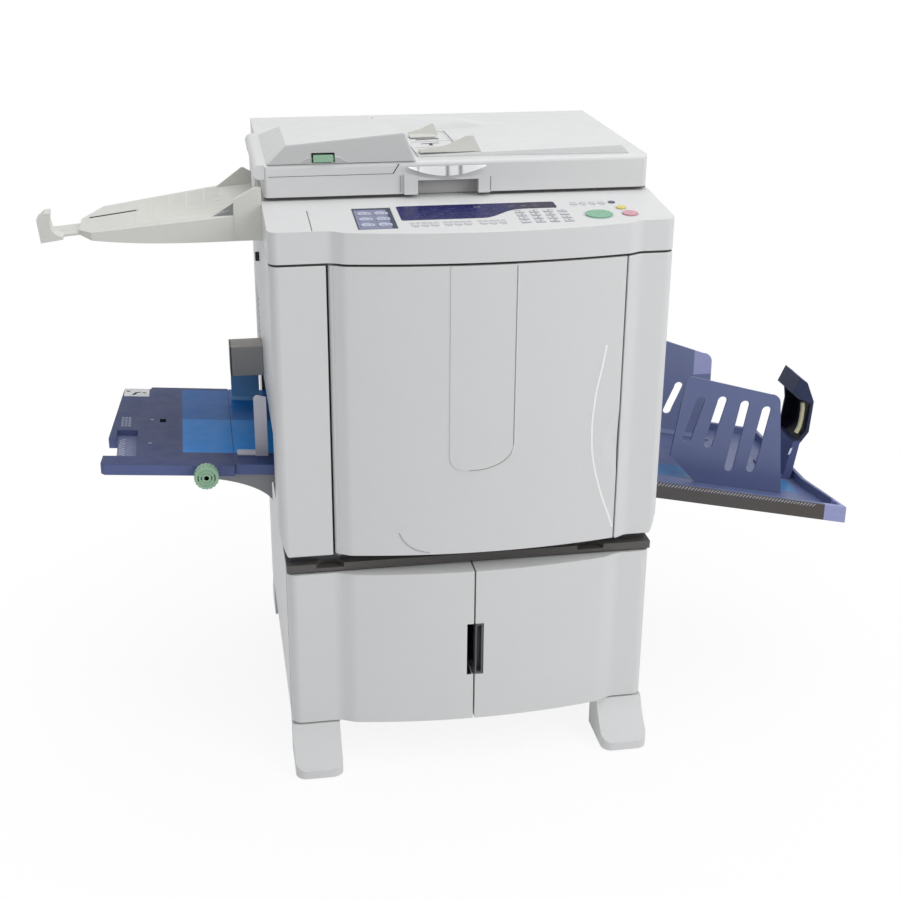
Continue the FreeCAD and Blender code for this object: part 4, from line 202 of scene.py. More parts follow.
def sizes():
    return bpy.context.scene.duplicator_sizes


# ------------------------------------------------------------------ materials

class Finish:
    """A material under construction, with the few nodes that these finishes share."""

    def __init__(self, name):
        self.material = bpy.data.materials.new(name)
        self.material.use_nodes = True
        self.tree = self.material.node_tree
        self.tree.nodes.clear()
        self.output = self.add("ShaderNodeOutputMaterial")
        self.shader = self.add("ShaderNodeBsdfPrincipled")
        self.wire(self.shader.outputs[0], self.output.inputs["Surface"])
        self.place = self.add("ShaderNodeTexCoord").outputs["Object"]

    def add(self, kind, **values):
        node = self.tree.nodes.new(kind)
        for key, value in values.items():
            setattr(node, key, value)
        return node

    def wire(self, a, b):
        self.tree.links.new(a, b)

    def noise(self, scale, detail=2.0, rough=0.5, stretch=None):
        node = self.add("ShaderNodeTexNoise")
        node.inputs["Scale"].default_value = scale
        node.inputs["Detail"].default_value = detail
        node.inputs["Roughness"].default_value = rough
        where = self.place
        if stretch:
            mapping = self.add("ShaderNodeMapping")
            mapping.inputs["Scale"].default_value = stretch
            self.wire(where, mapping.inputs["Vector"])
            where = mapping.outputs["Vector"]
        self.wire(where, node.inputs["Vector"])
        return node.outputs["Fac"]

    def span(self, value, low, high, start=0.3, end=0.7):
        node = self.add("ShaderNodeMapRange")
        self.wire(value, node.inputs["Value"])
        for key, number in (("From Min", start), ("From Max", end), ("To Min", low), ("To Max", high)):
            node.inputs[key].default_value = number
        return node.outputs["Result"]

    def math(self, operation, a, b):
        node = self.add("ShaderNodeMath", operation=operation)
        for socket, value in zip(node.inputs, (a, b)):
            if hasattr(value, "links"):
                self.wire(value, socket)
            else:
                socket.default_value = value
        return node.outputs[0]

    def mix(self, share, a, b, blend="MIX"):
        node = self.add("ShaderNodeMix", data_type="RGBA", blend_type=blend)
        for socket, value in ((node.inputs["Factor"], share), (node.inputs["A"], a), (node.inputs["B"], b)):
            if hasattr(value, "links"):
                self.wire(value, socket)
            elif isinstance(value, (int, float)):
                socket.default_value = value
            else:
                socket.default_value = (*value, 1.0)
        return node.outputs["Result"]

    def axis(self, which):
        node = self.add("ShaderNodeSeparateXYZ")
        self.wire(self.place, node.inputs[0])
        return node.outputs["XYZ".index(which)]

    def facing(self, which):
        """How far the surface faces along an axis, from -1 to 1."""
        turn = self.add("ShaderNodeNewGeometry")
        back = self.add("ShaderNodeVectorTransform", vector_type="NORMAL",
                        convert_from="WORLD", convert_to="OBJECT")
        self.wire(turn.outputs["Normal"], back.inputs[0])
        node = self.add("ShaderNodeSeparateXYZ")
        self.wire(back.outputs[0], node.inputs[0])
        return node.outputs["XYZ".index(which)]

    def past(self, which, edge, sign=1, soft=0.0006):
        """A mask of what lies past an edge along an axis, in metres."""
        value = self.axis(which)
        low, high = (0.0, 1.0) if sign > 0 else (1.0, 0.0)
        return self.span(value, low, high, edge - soft / 2, edge + soft / 2)

    def turned(self, which, sign, least=0.5):
        """A mask of the faces that look along an axis."""
        return self.span(self.facing(which), 0.0, 1.0, sign * (least - 0.1), sign * least)

    def both(self, *masks):
        whole = masks[0]
        for mask in masks[1:]:
            whole = self.math("MULTIPLY", whole, mask)
        return whole

    def grain(self, height, strength=0.25, distance=0.0002, after=None):
        node = self.add("ShaderNodeBump")
        node.inputs["Strength"].default_value = strength
        node.inputs["Distance"].default_value = distance
        self.wire(height, node.inputs["Height"])
        if after is not None:
            self.wire(after, node.inputs["Normal"])
        return node.outputs[0]

    def set(self, **values):
        for key, value in values.items():
            socket = self.shader.inputs[key.replace("_", " ").title()]
            if hasattr(value, "links"):
                self.wire(value, socket)
            elif isinstance(value, (int, float)):
                socket.default_value = value
            else:
                socket.default_value = (*value, 1.0)
        return self


def shade(colour, factor):
    return tuple(min(1.0, c * factor) for c in colour)


def moulded(name, colour, rough=0.42, mottle=0.05, bump=0.3, grain=1500.0, zones=(),
            gloss=0.4):
    """Moulded plastic: fine spark-eroded grain, faint cloudiness and handled patches."""
    f = Finish(name)
    cloud = f.noise(7.0, 3.0)
    handled = f.noise(38.0, 4.0, 0.6)
    base = f.mix(0.0, tuple(colour), tuple(colour))
    for tint, mask in zones:
        base = f.mix(mask(f), base, tuple(tint))
    pale = f.mix(f.span(cloud, 0.0, mottle), base, shade(colour, 0.72))
    worn = f.mix(f.span(handled, 0.0, mottle * 0.7, 0.45, 0.75), pale, shade(colour, 0.6))
    height = f.noise(grain, 2.0, 0.6)
    normal = f.grain(height, bump, 0.00012)
    f.set(base_color=worn, roughness=f.span(handled, rough - 0.05, rough + 0.08), normal=normal)
    f.shader.inputs["Specular IOR Level"].default_value = gloss
    return f.material


def painted(name, colour, rough=0.38):
    """Powder-painted sheet steel with its orange peel."""
    f = Finish(name)
    peel = f.noise(420.0, 2.0, 0.5)
    cloud = f.noise(5.0, 2.0)
    base = f.mix(f.span(cloud, 0.0, 0.06), tuple(colour), shade(colour, 0.7))
    f.set(base_color=base, roughness=f.span(peel, rough - 0.04, rough + 0.06),
          normal=f.grain(peel, 0.35, 0.0002))
    return f.material


def bare_metal(name, colour, stretch=(4.0, 180.0, 180.0), rough=0.32):
    """Brushed or ground metal, with its streaks along one axis."""
    f = Finish(name)
    streak = f.noise(60.0, 3.0, 0.7, stretch)
    base = f.mix(f.span(streak, 0.0, 0.35), tuple(colour), shade(colour, 0.62))
    f.set(base_color=base, metallic=1.0, roughness=f.span(streak, rough - 0.08, rough + 0.12),
          normal=f.grain(streak, 0.2, 0.00008))
    return f.material


def rubbery(name, colour):
    """Rubber with ground texture and dusty high spots."""
    f = Finish(name)
    dust = f.noise(55.0, 5.0, 0.7)
    fine = f.noise(1800.0, 2.0)
    base = f.mix(f.span(dust, 0.0, 0.4, 0.45, 0.8), tuple(colour), shade(colour, 2.2))
    f.set(base_color=base, roughness=f.span(dust, 0.62, 0.85), normal=f.grain(fine, 0.5, 0.0002))
    return f.material


def glossy(name, colour, rough=0.16, glow=0.0):
    """Polished plastic of a key or window, with faint finger marks."""
    f = Finish(name)
    smear = f.noise(90.0, 4.0, 0.65)
    tint = f.noise(14.0, 2.0)
    base = f.mix(f.span(tint, 0.0, 0.12), tuple(colour), shade(colour, 0.75))
    f.set(base_color=base, roughness=f.span(smear, rough - 0.05, rough + 0.12),
          normal=f.grain(smear, 0.06, 0.0001))
    if glow:
        f.shader.inputs["Emission Color"].default_value = (*colour, 1.0)
        f.shader.inputs["Emission Strength"].default_value = glow
    return f.material


def clear_glass(name):
    """The flat-bed's float glass: a green body tint and faint smears."""
    f = Finish(name)
    smear = f.noise(60.0, 3.0)
    f.set(base_color=(0.86, 0.94, 0.91), roughness=f.span(smear, 0.03, 0.09))
    f.shader.inputs["Transmission Weight"].default_value = 0.85
    f.shader.inputs["IOR"].default_value = 1.5
    return f.material


def napped(name, colour):
    """Soft white platen sheet with a fine weave."""
    f = Finish(name)
    threads = []
    for turn in ("X", "Y"):
        wave = f.add("ShaderNodeTexWave", wave_type="BANDS", bands_direction=turn)
        wave.inputs["Scale"].default_value = 380.0
        wave.inputs["Distortion"].default_value = 0.6
        f.wire(f.place, wave.inputs["Vector"])
        threads.append(wave.outputs["Fac"])
    weave = f.math("MULTIPLY", threads[0], threads[1])
    base = f.mix(f.span(weave, 0.0, 0.18, 0.0, 1.0), tuple(colour), shade(colour, 0.7))
    f.set(base_color=base, roughness=0.85, normal=f.grain(weave, 0.4, 0.0002))
    f.shader.inputs["Sheen Weight"].default_value = 0.2
    return f.material


def foamed(name, colour):
    """Open-cell foam with its pores."""
    f = Finish(name)
    cells = f.add("ShaderNodeTexVoronoi")
    cells.inputs["Scale"].default_value = 520.0
    f.wire(f.place, cells.inputs["Vector"])
    pores = f.span(cells.outputs["Distance"], 0.0, 1.0, 0.05, 0.5)
    base = f.mix(pores, shade(colour, 0.66), tuple(colour))
    f.set(base_color=base, roughness=0.92, normal=f.grain(pores, 0.7, 0.0005))
    return f.material


def wound_sheet(name, colour):
    """The edge and face of a wound master roll: fine spiral lines."""
    f = Finish(name)
    lines = f.add("ShaderNodeTexWave", wave_type="RINGS", rings_direction="Y")
    lines.inputs["Scale"].default_value = 260.0
    lines.inputs["Distortion"].default_value = 1.2
    f.wire(f.place, lines.inputs["Vector"])
    base = f.mix(f.span(lines.outputs["Fac"], 0.0, 0.3, 0.0, 1.0), tuple(colour), shade(colour, 0.7))
    f.set(base_color=base, roughness=0.6, normal=f.grain(lines.outputs["Fac"], 0.15, 0.0001))
    return f.material


def circuit(name):
    """A circuit board: green lacquer over a pattern of tracks, with pale steel beside it."""
    f = Finish(name)
    tracks = f.add("ShaderNodeTexBrick")
    tracks.inputs["Scale"].default_value = 90.0
    tracks.inputs["Mortar Size"].default_value = 0.03
    f.wire(f.place, tracks.inputs["Vector"])
    base = f.mix(tracks.outputs["Fac"], (0.02, 0.16, 0.07), (0.12, 0.34, 0.14))
    speck = f.noise(140.0, 2.0)
    base = f.mix(f.span(speck, 0.0, 0.5, 0.62, 0.66), base, (0.55, 0.52, 0.45))
    f.set(base_color=base, roughness=0.35, normal=f.grain(tracks.outputs["Fac"], 0.2, 0.0002))
    return f.material


def screen_mesh(name, colour):
    """The drum's screen: woven steel with its pores."""
    f = Finish(name)
    cells = f.add("ShaderNodeTexVoronoi", feature="DISTANCE_TO_EDGE")
    cells.inputs["Scale"].default_value = 700.0
    f.wire(f.place, cells.inputs["Vector"])
    wires = f.span(cells.outputs["Distance"], 1.0, 0.0, 0.02, 0.2)
    base = f.mix(wires, shade(colour, 0.3), tuple(colour))
    f.set(base_color=base, metallic=0.85, roughness=0.38, normal=f.grain(wires, 0.4, 0.0002))
    return f.material


# ------------------------------------------------------------------ mesh making

def ring(x0, x1, y0, y1, radius, steps=4):
    """A rectangle's outline with rounded corners, anticlockwise."""
    radius = min(radius, (x1 - x0) / 2 - 1e-4, (y1 - y0) / 2 - 1e-4)
    points = []
    for cx, cy, start in ((x1 - radius, y0 + radius, -90), (x1 - radius, y1 - radius, 0),
                          (x0 + radius, y1 - radius, 90), (x0 + radius, y0 + radius, 180)):
        for i in range(steps + 1):
            turn = math.radians(start + 90 * i / steps)
            points.append((cx + radius * math.cos(turn), cy + radius * math.sin(turn)))
    return points


def circle(cx, cy, radius, steps=28):
    return [(cx + radius * math.cos(2 * math.pi * i / steps), cy + radius * math.sin(2 * math.pi * i / steps))
            for i in range(steps)]


def bar(a, b, width):
    """The outline of a straight bar from a to b."""
    run = Vector((b[0] - a[0], b[1] - a[1]))
    side = Vector((-run.y, run.x)).normalized() * width / 2
    return [(a[0] - side.x, a[1] - side.y), (b[0] - side.x, b[1] - side.y),
            (b[0] + side.x, b[1] + side.y), (a[0] + side.x, a[1] + side.y)]


def smooth_line(points, steps):
    """Points along a smooth curve through a few given ones."""
    line = []
    last = len(points) - 1
    for i in range(last):
        a, b, c, d = (Vector(points[k]) for k in (max(i - 1, 0), i, i + 1, min(i + 2, last)))
        for k in range(steps):
            t = k / steps
            line.append(0.5 * (2 * b + (c - a) * t + (2 * a - 5 * b + 4 * c - d) * t ** 2
                               + (3 * b - 3 * c + d - a) * t ** 3))
    line.append(Vector(points[last]))
    return line


def raise_outline(bm, outline, low, high, place, crown=0.0):
    """Stand an outline up as a solid between two heights above a surface; crown draws in its top edge."""
    middle = (sum(p[0] for p in outline) / len(outline), sum(p[1] for p in outline) / len(outline))
    levels = [(low, 0.0), (high, 0.0)]
    if crown:
        levels = [(low, 0.0), (high - crown, 0.0), (high - crown * 0.3, crown * 0.3), (high, crown)]
    loops = []
    for level, draw in levels:
        loop = []
        for a, b in outline:
            reach = math.hypot(a - middle[0], b - middle[1]) or 1.0
            share = 1 - draw / reach
            loop.append(bm.verts.new(place(middle[0] + (a - middle[0]) * share,
                                           middle[1] + (b - middle[1]) * share, level)))
        loops.append(loop)
    count = len(outline)
    for lower, upper in zip(loops, loops[1:]):
        for i in range(count):
            j = (i + 1) % count
            bm.faces.new((lower[i], lower[j], upper[j], upper[i]))
    bm.faces.new(list(reversed(loops[0])))
    bm.faces.new(loops[-1])


def sweep(bm, path, section, close=False):
    """Carry a small section, given across and up, along a path of points."""
    rows = []
    count = len(path)
    for i, point in enumerate(path):
        before = path[i - 1] if i or close else point
        after = path[(i + 1) % count] if i < count - 1 or close else point
        run = (after - before).normalized()
        up = Vector((0, 0, 1)) if abs(run.z) < 0.9 else Vector((0, 1, 0))
        across = run.cross(up).normalized()
        lift = across.cross(run).normalized()
        rows.append([bm.verts.new(point + across * a + lift * b) for a, b in section])
    width = len(section)
    for i in range(count if close else count - 1):
        a, b = rows[i], rows[(i + 1) % count]
        for k in range(width):
            m = (k + 1) % width
            bm.faces.new((a[k], a[m], b[m], b[k]))
    if not close:
        bm.faces.new(list(reversed(rows[0])))
        bm.faces.new(rows[-1])


def piece(name, bm, material, body, edge=0.0, smooth=True):
    """Turn a bmesh into a named piece that rides on a body."""
    bmesh.ops.recalc_face_normals(bm, faces=bm.faces)
    mesh = bpy.data.meshes.new(name)
    bm.to_mesh(mesh)
    bm.free()
    mesh.materials.append(material)
    obj = bpy.data.objects.new(name, mesh)
    bpy.context.scene.collection.objects.link(obj)
    if edge:
        bevel = obj.modifiers.new("rounded", "BEVEL")
        bevel.width = edge
        bevel.segments = 2
        bevel.limit_method = "ANGLE"
        bevel.angle_limit = math.radians(40)
    if smooth:
        for polygon in mesh.polygons:
            polygon.use_smooth = True
        mesh.set_sharp_from_angle(angle=math.radians(32))
    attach(obj, body)
    return obj


def figure(bm, text, height, place, u, v, lift, thick):
    """Stand a digit or sign up from a surface, centred at u, v."""
    curve = bpy.data.curves.new("figure", "FONT")
    curve.body = text
    curve.size = 1.0
    curve.align_x = "CENTER"
    curve.align_y = "CENTER"
    curve.resolution_u = 3
    holder = bpy.data.objects.new("figure", curve)
    bpy.context.scene.collection.objects.link(holder)
    bpy.context.view_layer.update()
    mesh = bpy.data.meshes.new_from_object(holder.evaluated_get(bpy.context.evaluated_depsgraph_get()))
    bpy.data.objects.remove(holder)
    bpy.data.curves.remove(curve)
    source = bmesh.new()
    source.from_mesh(mesh)
    bpy.data.meshes.remove(mesh)
    flat = source.faces[:]
    grown = bmesh.ops.extrude_face_region(source, geom=flat)
    for vert in [g for g in grown["geom"] if isinstance(g, bmesh.types.BMVert)]:
        vert.co.z += 1.0
    scale = height * 1.35
    known = {}
    for vert in source.verts:
        known[vert] = bm.verts.new(place(u + vert.co.x * scale, v + vert.co.y * scale,
                                         lift + vert.co.z * thick))
    for face in source.faces:
        bm.faces.new([known[w] for w in face.verts])
    source.free()


def cover_with(node, material):
    """Give a CAD node its material in every slot."""
    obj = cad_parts[node]
    if not obj.material_slots:
        obj.data.materials.append(material)
    for slot in obj.material_slots:
        slot.link = "DATA"
        slot.material = material
    return obj


def round_edges(node, width, segments=2, angle=32.0):
    """Round a CAD node's sharp edges with modifiers, leaving its own mesh alone."""
    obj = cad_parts[node]
    weld = obj.modifiers.new("joined corners", "WELD")
    weld.merge_threshold = 0.00002
    bevel = obj.modifiers.new("rounded edges", "BEVEL")
    bevel.width = width
    bevel.segments = segments
    bevel.limit_method = "ANGLE"
    bevel.angle_limit = math.radians(angle)
    bevel.use_clamp_overlap = True
    bevel.harden_normals = False
    shaded = obj.modifiers.new("even shading", "WEIGHTED_NORMAL")
    shaded.keep_sharp = False
    shaded.weight = 60
    return obj


def make_operator(cls):
    cls.bl_options = {"REGISTER", "UNDO"}
    return cls


# ------------------------------------------------------------------ operators

@make_operator
class DUPLICATOR_OT_stage(bpy.types.Operator):
    """Lay the pale floor, hang the lamps and set up the camera"""

    bl_idname = "duplicator.stage"
    bl_label = "Stage and camera"

    def execute(self, context):
        scene = context.scene
        settings = scene.duplicator_stage
        scene.view_settings.view_transform = "Standard"
        self.lay_floor(settings)
        self.light_room(scene, settings)
        self.hang_lamps(settings)
        self.set_camera(scene, settings)
        return {"FINISHED"}

    def lay_floor(self, settings):
        bm = bmesh.new()
        rows = []
        for x in (-9.0, 9.0):
            row = [bm.verts.new((x, -7.0, 0.0)), bm.verts.new((x, 3.2, 0.0))]
            for i in range(1, 13):
                turn = math.radians(90 * i / 12)
                row.append(bm.verts.new((x, 3.2 + 1.6 * math.sin(turn), 1.6 * (1 - math.cos(turn)))))
            row.append(bm.verts.new((x, 4.8, 6.0)))
            rows.append(row)
        for i in range(len(rows[0]) - 1):
            bm.faces.new((rows[0][i], rows[1][i], rows[1][i + 1], rows[0][i + 1]))
        mesh = bpy.data.meshes.new("studio_floor")
        bm.to_mesh(mesh)
        bm.free()
        floor = bpy.data.objects.new("studio_floor", mesh)
        bpy.context.scene.collection.objects.link(floor)
        mesh.materials.append(self.floor_finish(settings))
        for polygon in mesh.polygons:
            polygon.use_smooth = True

    def floor_finish(self, settings):
        """A floor that keeps the object's shadow and fades to plain white further out."""
        f = Finish("studio floor")
        speck = f.noise(30.0, 3.0)
        base = f.mix(f.span(speck, 0.0, 0.015), tuple(settings.floor), shade(settings.floor, 0.9))
        f.set(base_color=base, roughness=0.9)
        far = f.add("ShaderNodeVectorMath", operation="LENGTH")
        f.wire(f.place, far.inputs[0])
        share = f.span(far.outputs["Value"], settings.floor_glow, 1.0, 0.3, 1.1)
        path = f.add("ShaderNodeLightPath")
        seen = f.math("MAXIMUM", path.outputs["Is Camera Ray"], path.outputs["Is Glossy Ray"])
        seen = f.math("MAXIMUM", seen, path.outputs["Is Transmission Ray"])
        white = f.add("ShaderNodeEmission")
        white.inputs["Color"].default_value = (1.0, 1.0, 1.0, 1.0)
        white.inputs["Strength"].default_value = 1.0
        mix = f.add("ShaderNodeMixShader")
        f.wire(f.math("MULTIPLY", share, seen), mix.inputs[0])
        f.wire(f.shader.outputs[0], mix.inputs[1])
        f.wire(white.outputs[0], mix.inputs[2])
        f.wire(mix.outputs[0], f.output.inputs["Surface"])
        return f.material

    def light_room(self, scene, settings):
        world = bpy.data.worlds.new("studio")
        scene.world = world
        world.use_nodes = True
        tree = world.node_tree
        tree.nodes.clear()
        out = tree.nodes.new("ShaderNodeOutputWorld")
        even = tree.nodes.new("ShaderNodeBackground")
        even.inputs["Color"].default_value = (0.96, 0.98, 1.0, 1.0)
        even.inputs["Strength"].default_value = settings.sky
        white = tree.nodes.new("ShaderNodeBackground")
        white.inputs["Color"].default_value = (1.0, 1.0, 1.0, 1.0)
        white.inputs["Strength"].default_value = 1.0
        path = tree.nodes.new("ShaderNodeLightPath")
        seen = tree.nodes.new("ShaderNodeMath")
        seen.operation = "MAXIMUM"
        tree.links.new(path.outputs["Is Camera Ray"], seen.inputs[0])
        tree.links.new(path.outputs["Is Transmission Ray"], seen.inputs[1])
        more = tree.nodes.new("ShaderNodeMath")
        more.operation = "MAXIMUM"
        tree.links.new(seen.outputs[0], more.inputs[0])
        tree.links.new(path.outputs["Is Glossy Ray"], more.inputs[1])
        mix = tree.nodes.new("ShaderNodeMixShader")
        tree.links.new(more.outputs[0], mix.inputs[0])
        tree.links.new(even.outputs[0], mix.inputs[1])
        tree.links.new(white.outputs[0], mix.inputs[2])
        tree.links.new(mix.outputs[0], out.inputs[0])

    def hang_lamps(self, settings):
        for name, place, aim, wide, power in (
                ("key lamp", (2.5, -2.6, 2.7), (0.0, 0.0, 0.65), 2.2, settings.key_power),
                ("top lamp", (0.2, -0.2, 3.4), (0.0, 0.0, 0.8), 3.0, settings.top_power),
                ("fill lamp", (-2.9, -2.2, 2.1), (0.0, 0.0, 0.6), 2.2, settings.fill_power)):
            lamp = bpy.data.lights.new(name, "AREA")
            lamp.shape = "DISK"
            lamp.size = wide
            lamp.energy = power
            holder = bpy.data.objects.new(name, lamp)
            bpy.context.scene.collection.objects.link(holder)
            holder.location = place
            holder.rotation_euler = (Vector(aim) - Vector(place)).to_track_quat("-Z", "Y").to_euler()

    def set_camera(self, scene, settings):
        yaw, pitch, roll = math.radians(9.914), math.radians(22.545), math.radians(0.407)
        forward = Vector((math.sin(yaw) * math.cos(pitch), math.cos(yaw) * math.cos(pitch), -math.sin(pitch)))
        level = Vector((math.cos(yaw), -math.sin(yaw), 0.0))
        above = level.cross(forward)
        right = level * math.cos(roll) + above * math.sin(roll)
        up = above * math.cos(roll) - level * math.sin(roll)
        camera = bpy.data.cameras.new("camera")
        camera.sensor_width = 36.0
        camera.lens = settings.lens
        holder = bpy.data.objects.new("camera", camera)
        bpy.context.scene.collection.objects.link(holder)
        turn = Matrix((right, up, -forward)).transposed().to_4x4()
        turn.translation = spot(-438.0, -2573.8, 1557.7)
        holder.matrix_world = turn
        scene.camera = holder


@make_operator
class DUPLICATOR_OT_shell(bpy.types.Operator):
    """Finish the covers of the body and round their edges"""

    bl_idname = "duplicator.shell"
    bl_label = "Body covers"

    def execute(self, context):
        c, s = colours(), sizes()
        # The near-black band between heights 931 and 934.8 mm is painted shade: the shadow in the seam under the
        # control panel.
        shell = moulded("shell plastic", c.shell, 0.44, 0.035, 0.22, 1500.0,
                        [(paint(34, 34, 36), lambda f: f.both(f.past("Z", 0.9310, 1, 0.0004),
                                                              f.past("Z", 0.9348, -1, 0.0004)))])
        for node in ("left_side_cover", "right_side_cover", "rear_cover", "front_cover",
                     "control_panel", "scanner_housing"):
            cover_with(node, shell)
            round_edges(node, s.shell_edge)
        self.cut_vents(shell)
        self.drive_screws()
        self.draw_seams(s)
        return {"FINISHED"}

    def cut_vents(self, shell):
        dark = moulded("vent shadow", paint(40, 40, 42), 0.8, 0.1, 0.4)
        bm, lips = bmesh.new(), bmesh.new()
        for i in range(9):
            z = 640 + 13 * i
            raise_outline(bm, ring(150, 262, z, z + 5, 2.5), 0.05, 0.25, on_left)
            raise_outline(lips, ring(148, 264, z + 5.4, z + 7.6, 1.1), 0.0, 1.0, on_left, 0.3)
        for i in range(8):
            z = 560 + 13 * i
            for x in (-240, 60):
                raise_outline(bm, ring(x, x + 150, z, z + 5, 2.5), 0.05, 0.25, on_back)
                raise_outline(lips, ring(x - 2, x + 152, z + 5.4, z + 7.6, 1.1), 0.0, 0.5, on_back, 0.2)
        piece("vent_shadows", bm, dark, "machine")
        piece("vent_lips", lips, shell, "machine")

    def draw_seams(self, s):
        """The joint in the panel's skin and the black knob at the left side."""
        bm = bmesh.new()
        raise_outline(bm, bar((-264, 4), (-264, 106), s.seam * 800), -0.2, 0.12, on_panel)
        piece("panel_joint", bm, moulded("joint shadow", paint(96, 96, 98), 0.7), "machine",
              smooth=False)
        self.line_cover(shell_tint=colours().shell)
        knob = bmesh.new()
        raise_outline(knob, circle(45, 858, 8.5, 24), -0.1, 7.0, on_left, 1.2)
        piece("side_knob", knob, rubbery("side knob rubber", colours().rubber), "machine")

    def line_cover(self, shell_tint):
        """Painted shade and highlight lines along the creases of the front cover: the tongue's right edge, the
        hollow and the low arc.
        """
        def on_bow(x, z, h=0.0):
            across = x - BOW_CENTRE
            return spot(x, BOW_FACE - math.sqrt(BOW_RADIUS ** 2 - across ** 2) + BOW_RADIUS - h, z)

        def crease(name, line, tint, across, high):
            bm = bmesh.new()
            curve = [on_bow(x, z, high / 2) for x, z in smooth_line(line, 6)]
            sweep(bm, curve, [(across / 2000, 0.0), (0.0, high / 2000), (-across / 2000, 0.0), (0.0, -high / 2000)])
            piece(name, bm, moulded(name.replace("_", " "), tint, 0.4, 0.03, 0.1), "front_cover")
        tongue = ((62.2, 928), (62.2, 800), (62.2, 650), (61.4, 615), (54, 597), (38, 584), (12, 575.4),
                  (-14, 573.6))
        # The darker line at the tongue's right edge is painted shade, and the lighter line just beside it is a
        # painted highlight.
        crease("tongue_shadow", tongue, shade(shell_tint, 0.42), 1.5, 0.5)
        crease("tongue_highlight", [(x + 1.9, z - 1.2) for x, z in tongue[:6]], shade(shell_tint, 1.25), 1.1, 0.5)
        # The pale raised ridge along the hollow is coloured as a painted highlight.
        crease("hollow_ridge_highlight", ((221, 781), (214, 740), (206, 700), (202, 660), (201, 626), (204, 585),
                                (213, 543), (227, 498), (241, 461), (247.5, 441)),
               shade(shell_tint, 1.38), 3.4, 0.9)
        # The darker low arc is a painted shade line.
        crease("low_arc_shadow", ((-132.5, 462), (-122.5, 444.5), (-105, 430.6), (-80, 422.6)),
               shade(shell_tint, 0.5), 1.7, 0.5)

    def drive_screws(self):
        metal = bare_metal("screw steel", paint(170, 172, 175))
        bm, slots = bmesh.new(), bmesh.new()
        for place, spots in ((on_back, ((-280, 905), (0, 905), (280, 905), (-280, 450), (0, 450), (280, 450),
                                        (-280, 680), (280, 680))),
                             (on_left, ((300, 905), (300, 450))), (on_right, ((300, 905), (300, 450)))):
            for a, b in spots:
                raise_outline(bm, circle(a, b, 4.2, 20), 0.0, 0.5, place, 0.25)
                # The dark bars across each screw head are painted shade in the screw's slots.
                for turn in (0, 90):
                    run = math.radians(turn + 20)
                    dx, dy = 2.2 * math.cos(run), 2.2 * math.sin(run)
                    raise_outline(slots, bar((a - dx, b - dy), (a + dx, b + dy), 0.9), 0.4, 0.56, place)
        piece("screw_heads", bm, metal, "machine")
        piece("screw_slots", slots, moulded("screw slot shadow", paint(30, 30, 32)), "machine")


@make_operator
class DUPLICATOR_OT_stand(bpy.types.Operator):
    """Finish the cabinet stand, its doors, skids and ledge"""

    bl_idname = "duplicator.stand"
    bl_label = "Cabinet stand"

    def execute(self, context):
        c, s = colours(), sizes()
        steel = painted("cabinet paint", c.stand)
        door = moulded("door plastic", c.shell, 0.44, 0.035, 0.22)
        cover_with("stand_cabinet", steel)
        round_edges("stand_cabinet", s.small_edge)
        for node in ("stand_door_left", "stand_door_right"):
            cover_with(node, door)
            round_edges(node, s.shell_edge)
        cover_with("skids", door)
        round_edges("skids", s.lid_edge, 3)
        cover_with("foot_pads", rubbery("foot rubber", c.rubber))
        cover_with("stand_ledge", moulded("ledge plastic", c.ledge, 0.5, 0.08, 0.4))
        round_edges("stand_ledge", s.tray_edge)
        cover_with("door_grip", moulded("grip plastic", c.grip, 0.42, 0.08, 0.4))
        round_edges("door_grip", s.small_edge)
        cover_with("hinge_pins", bare_metal("pin steel", paint(168, 170, 172), (180.0, 180.0, 4.0)))
        return {"FINISHED"}


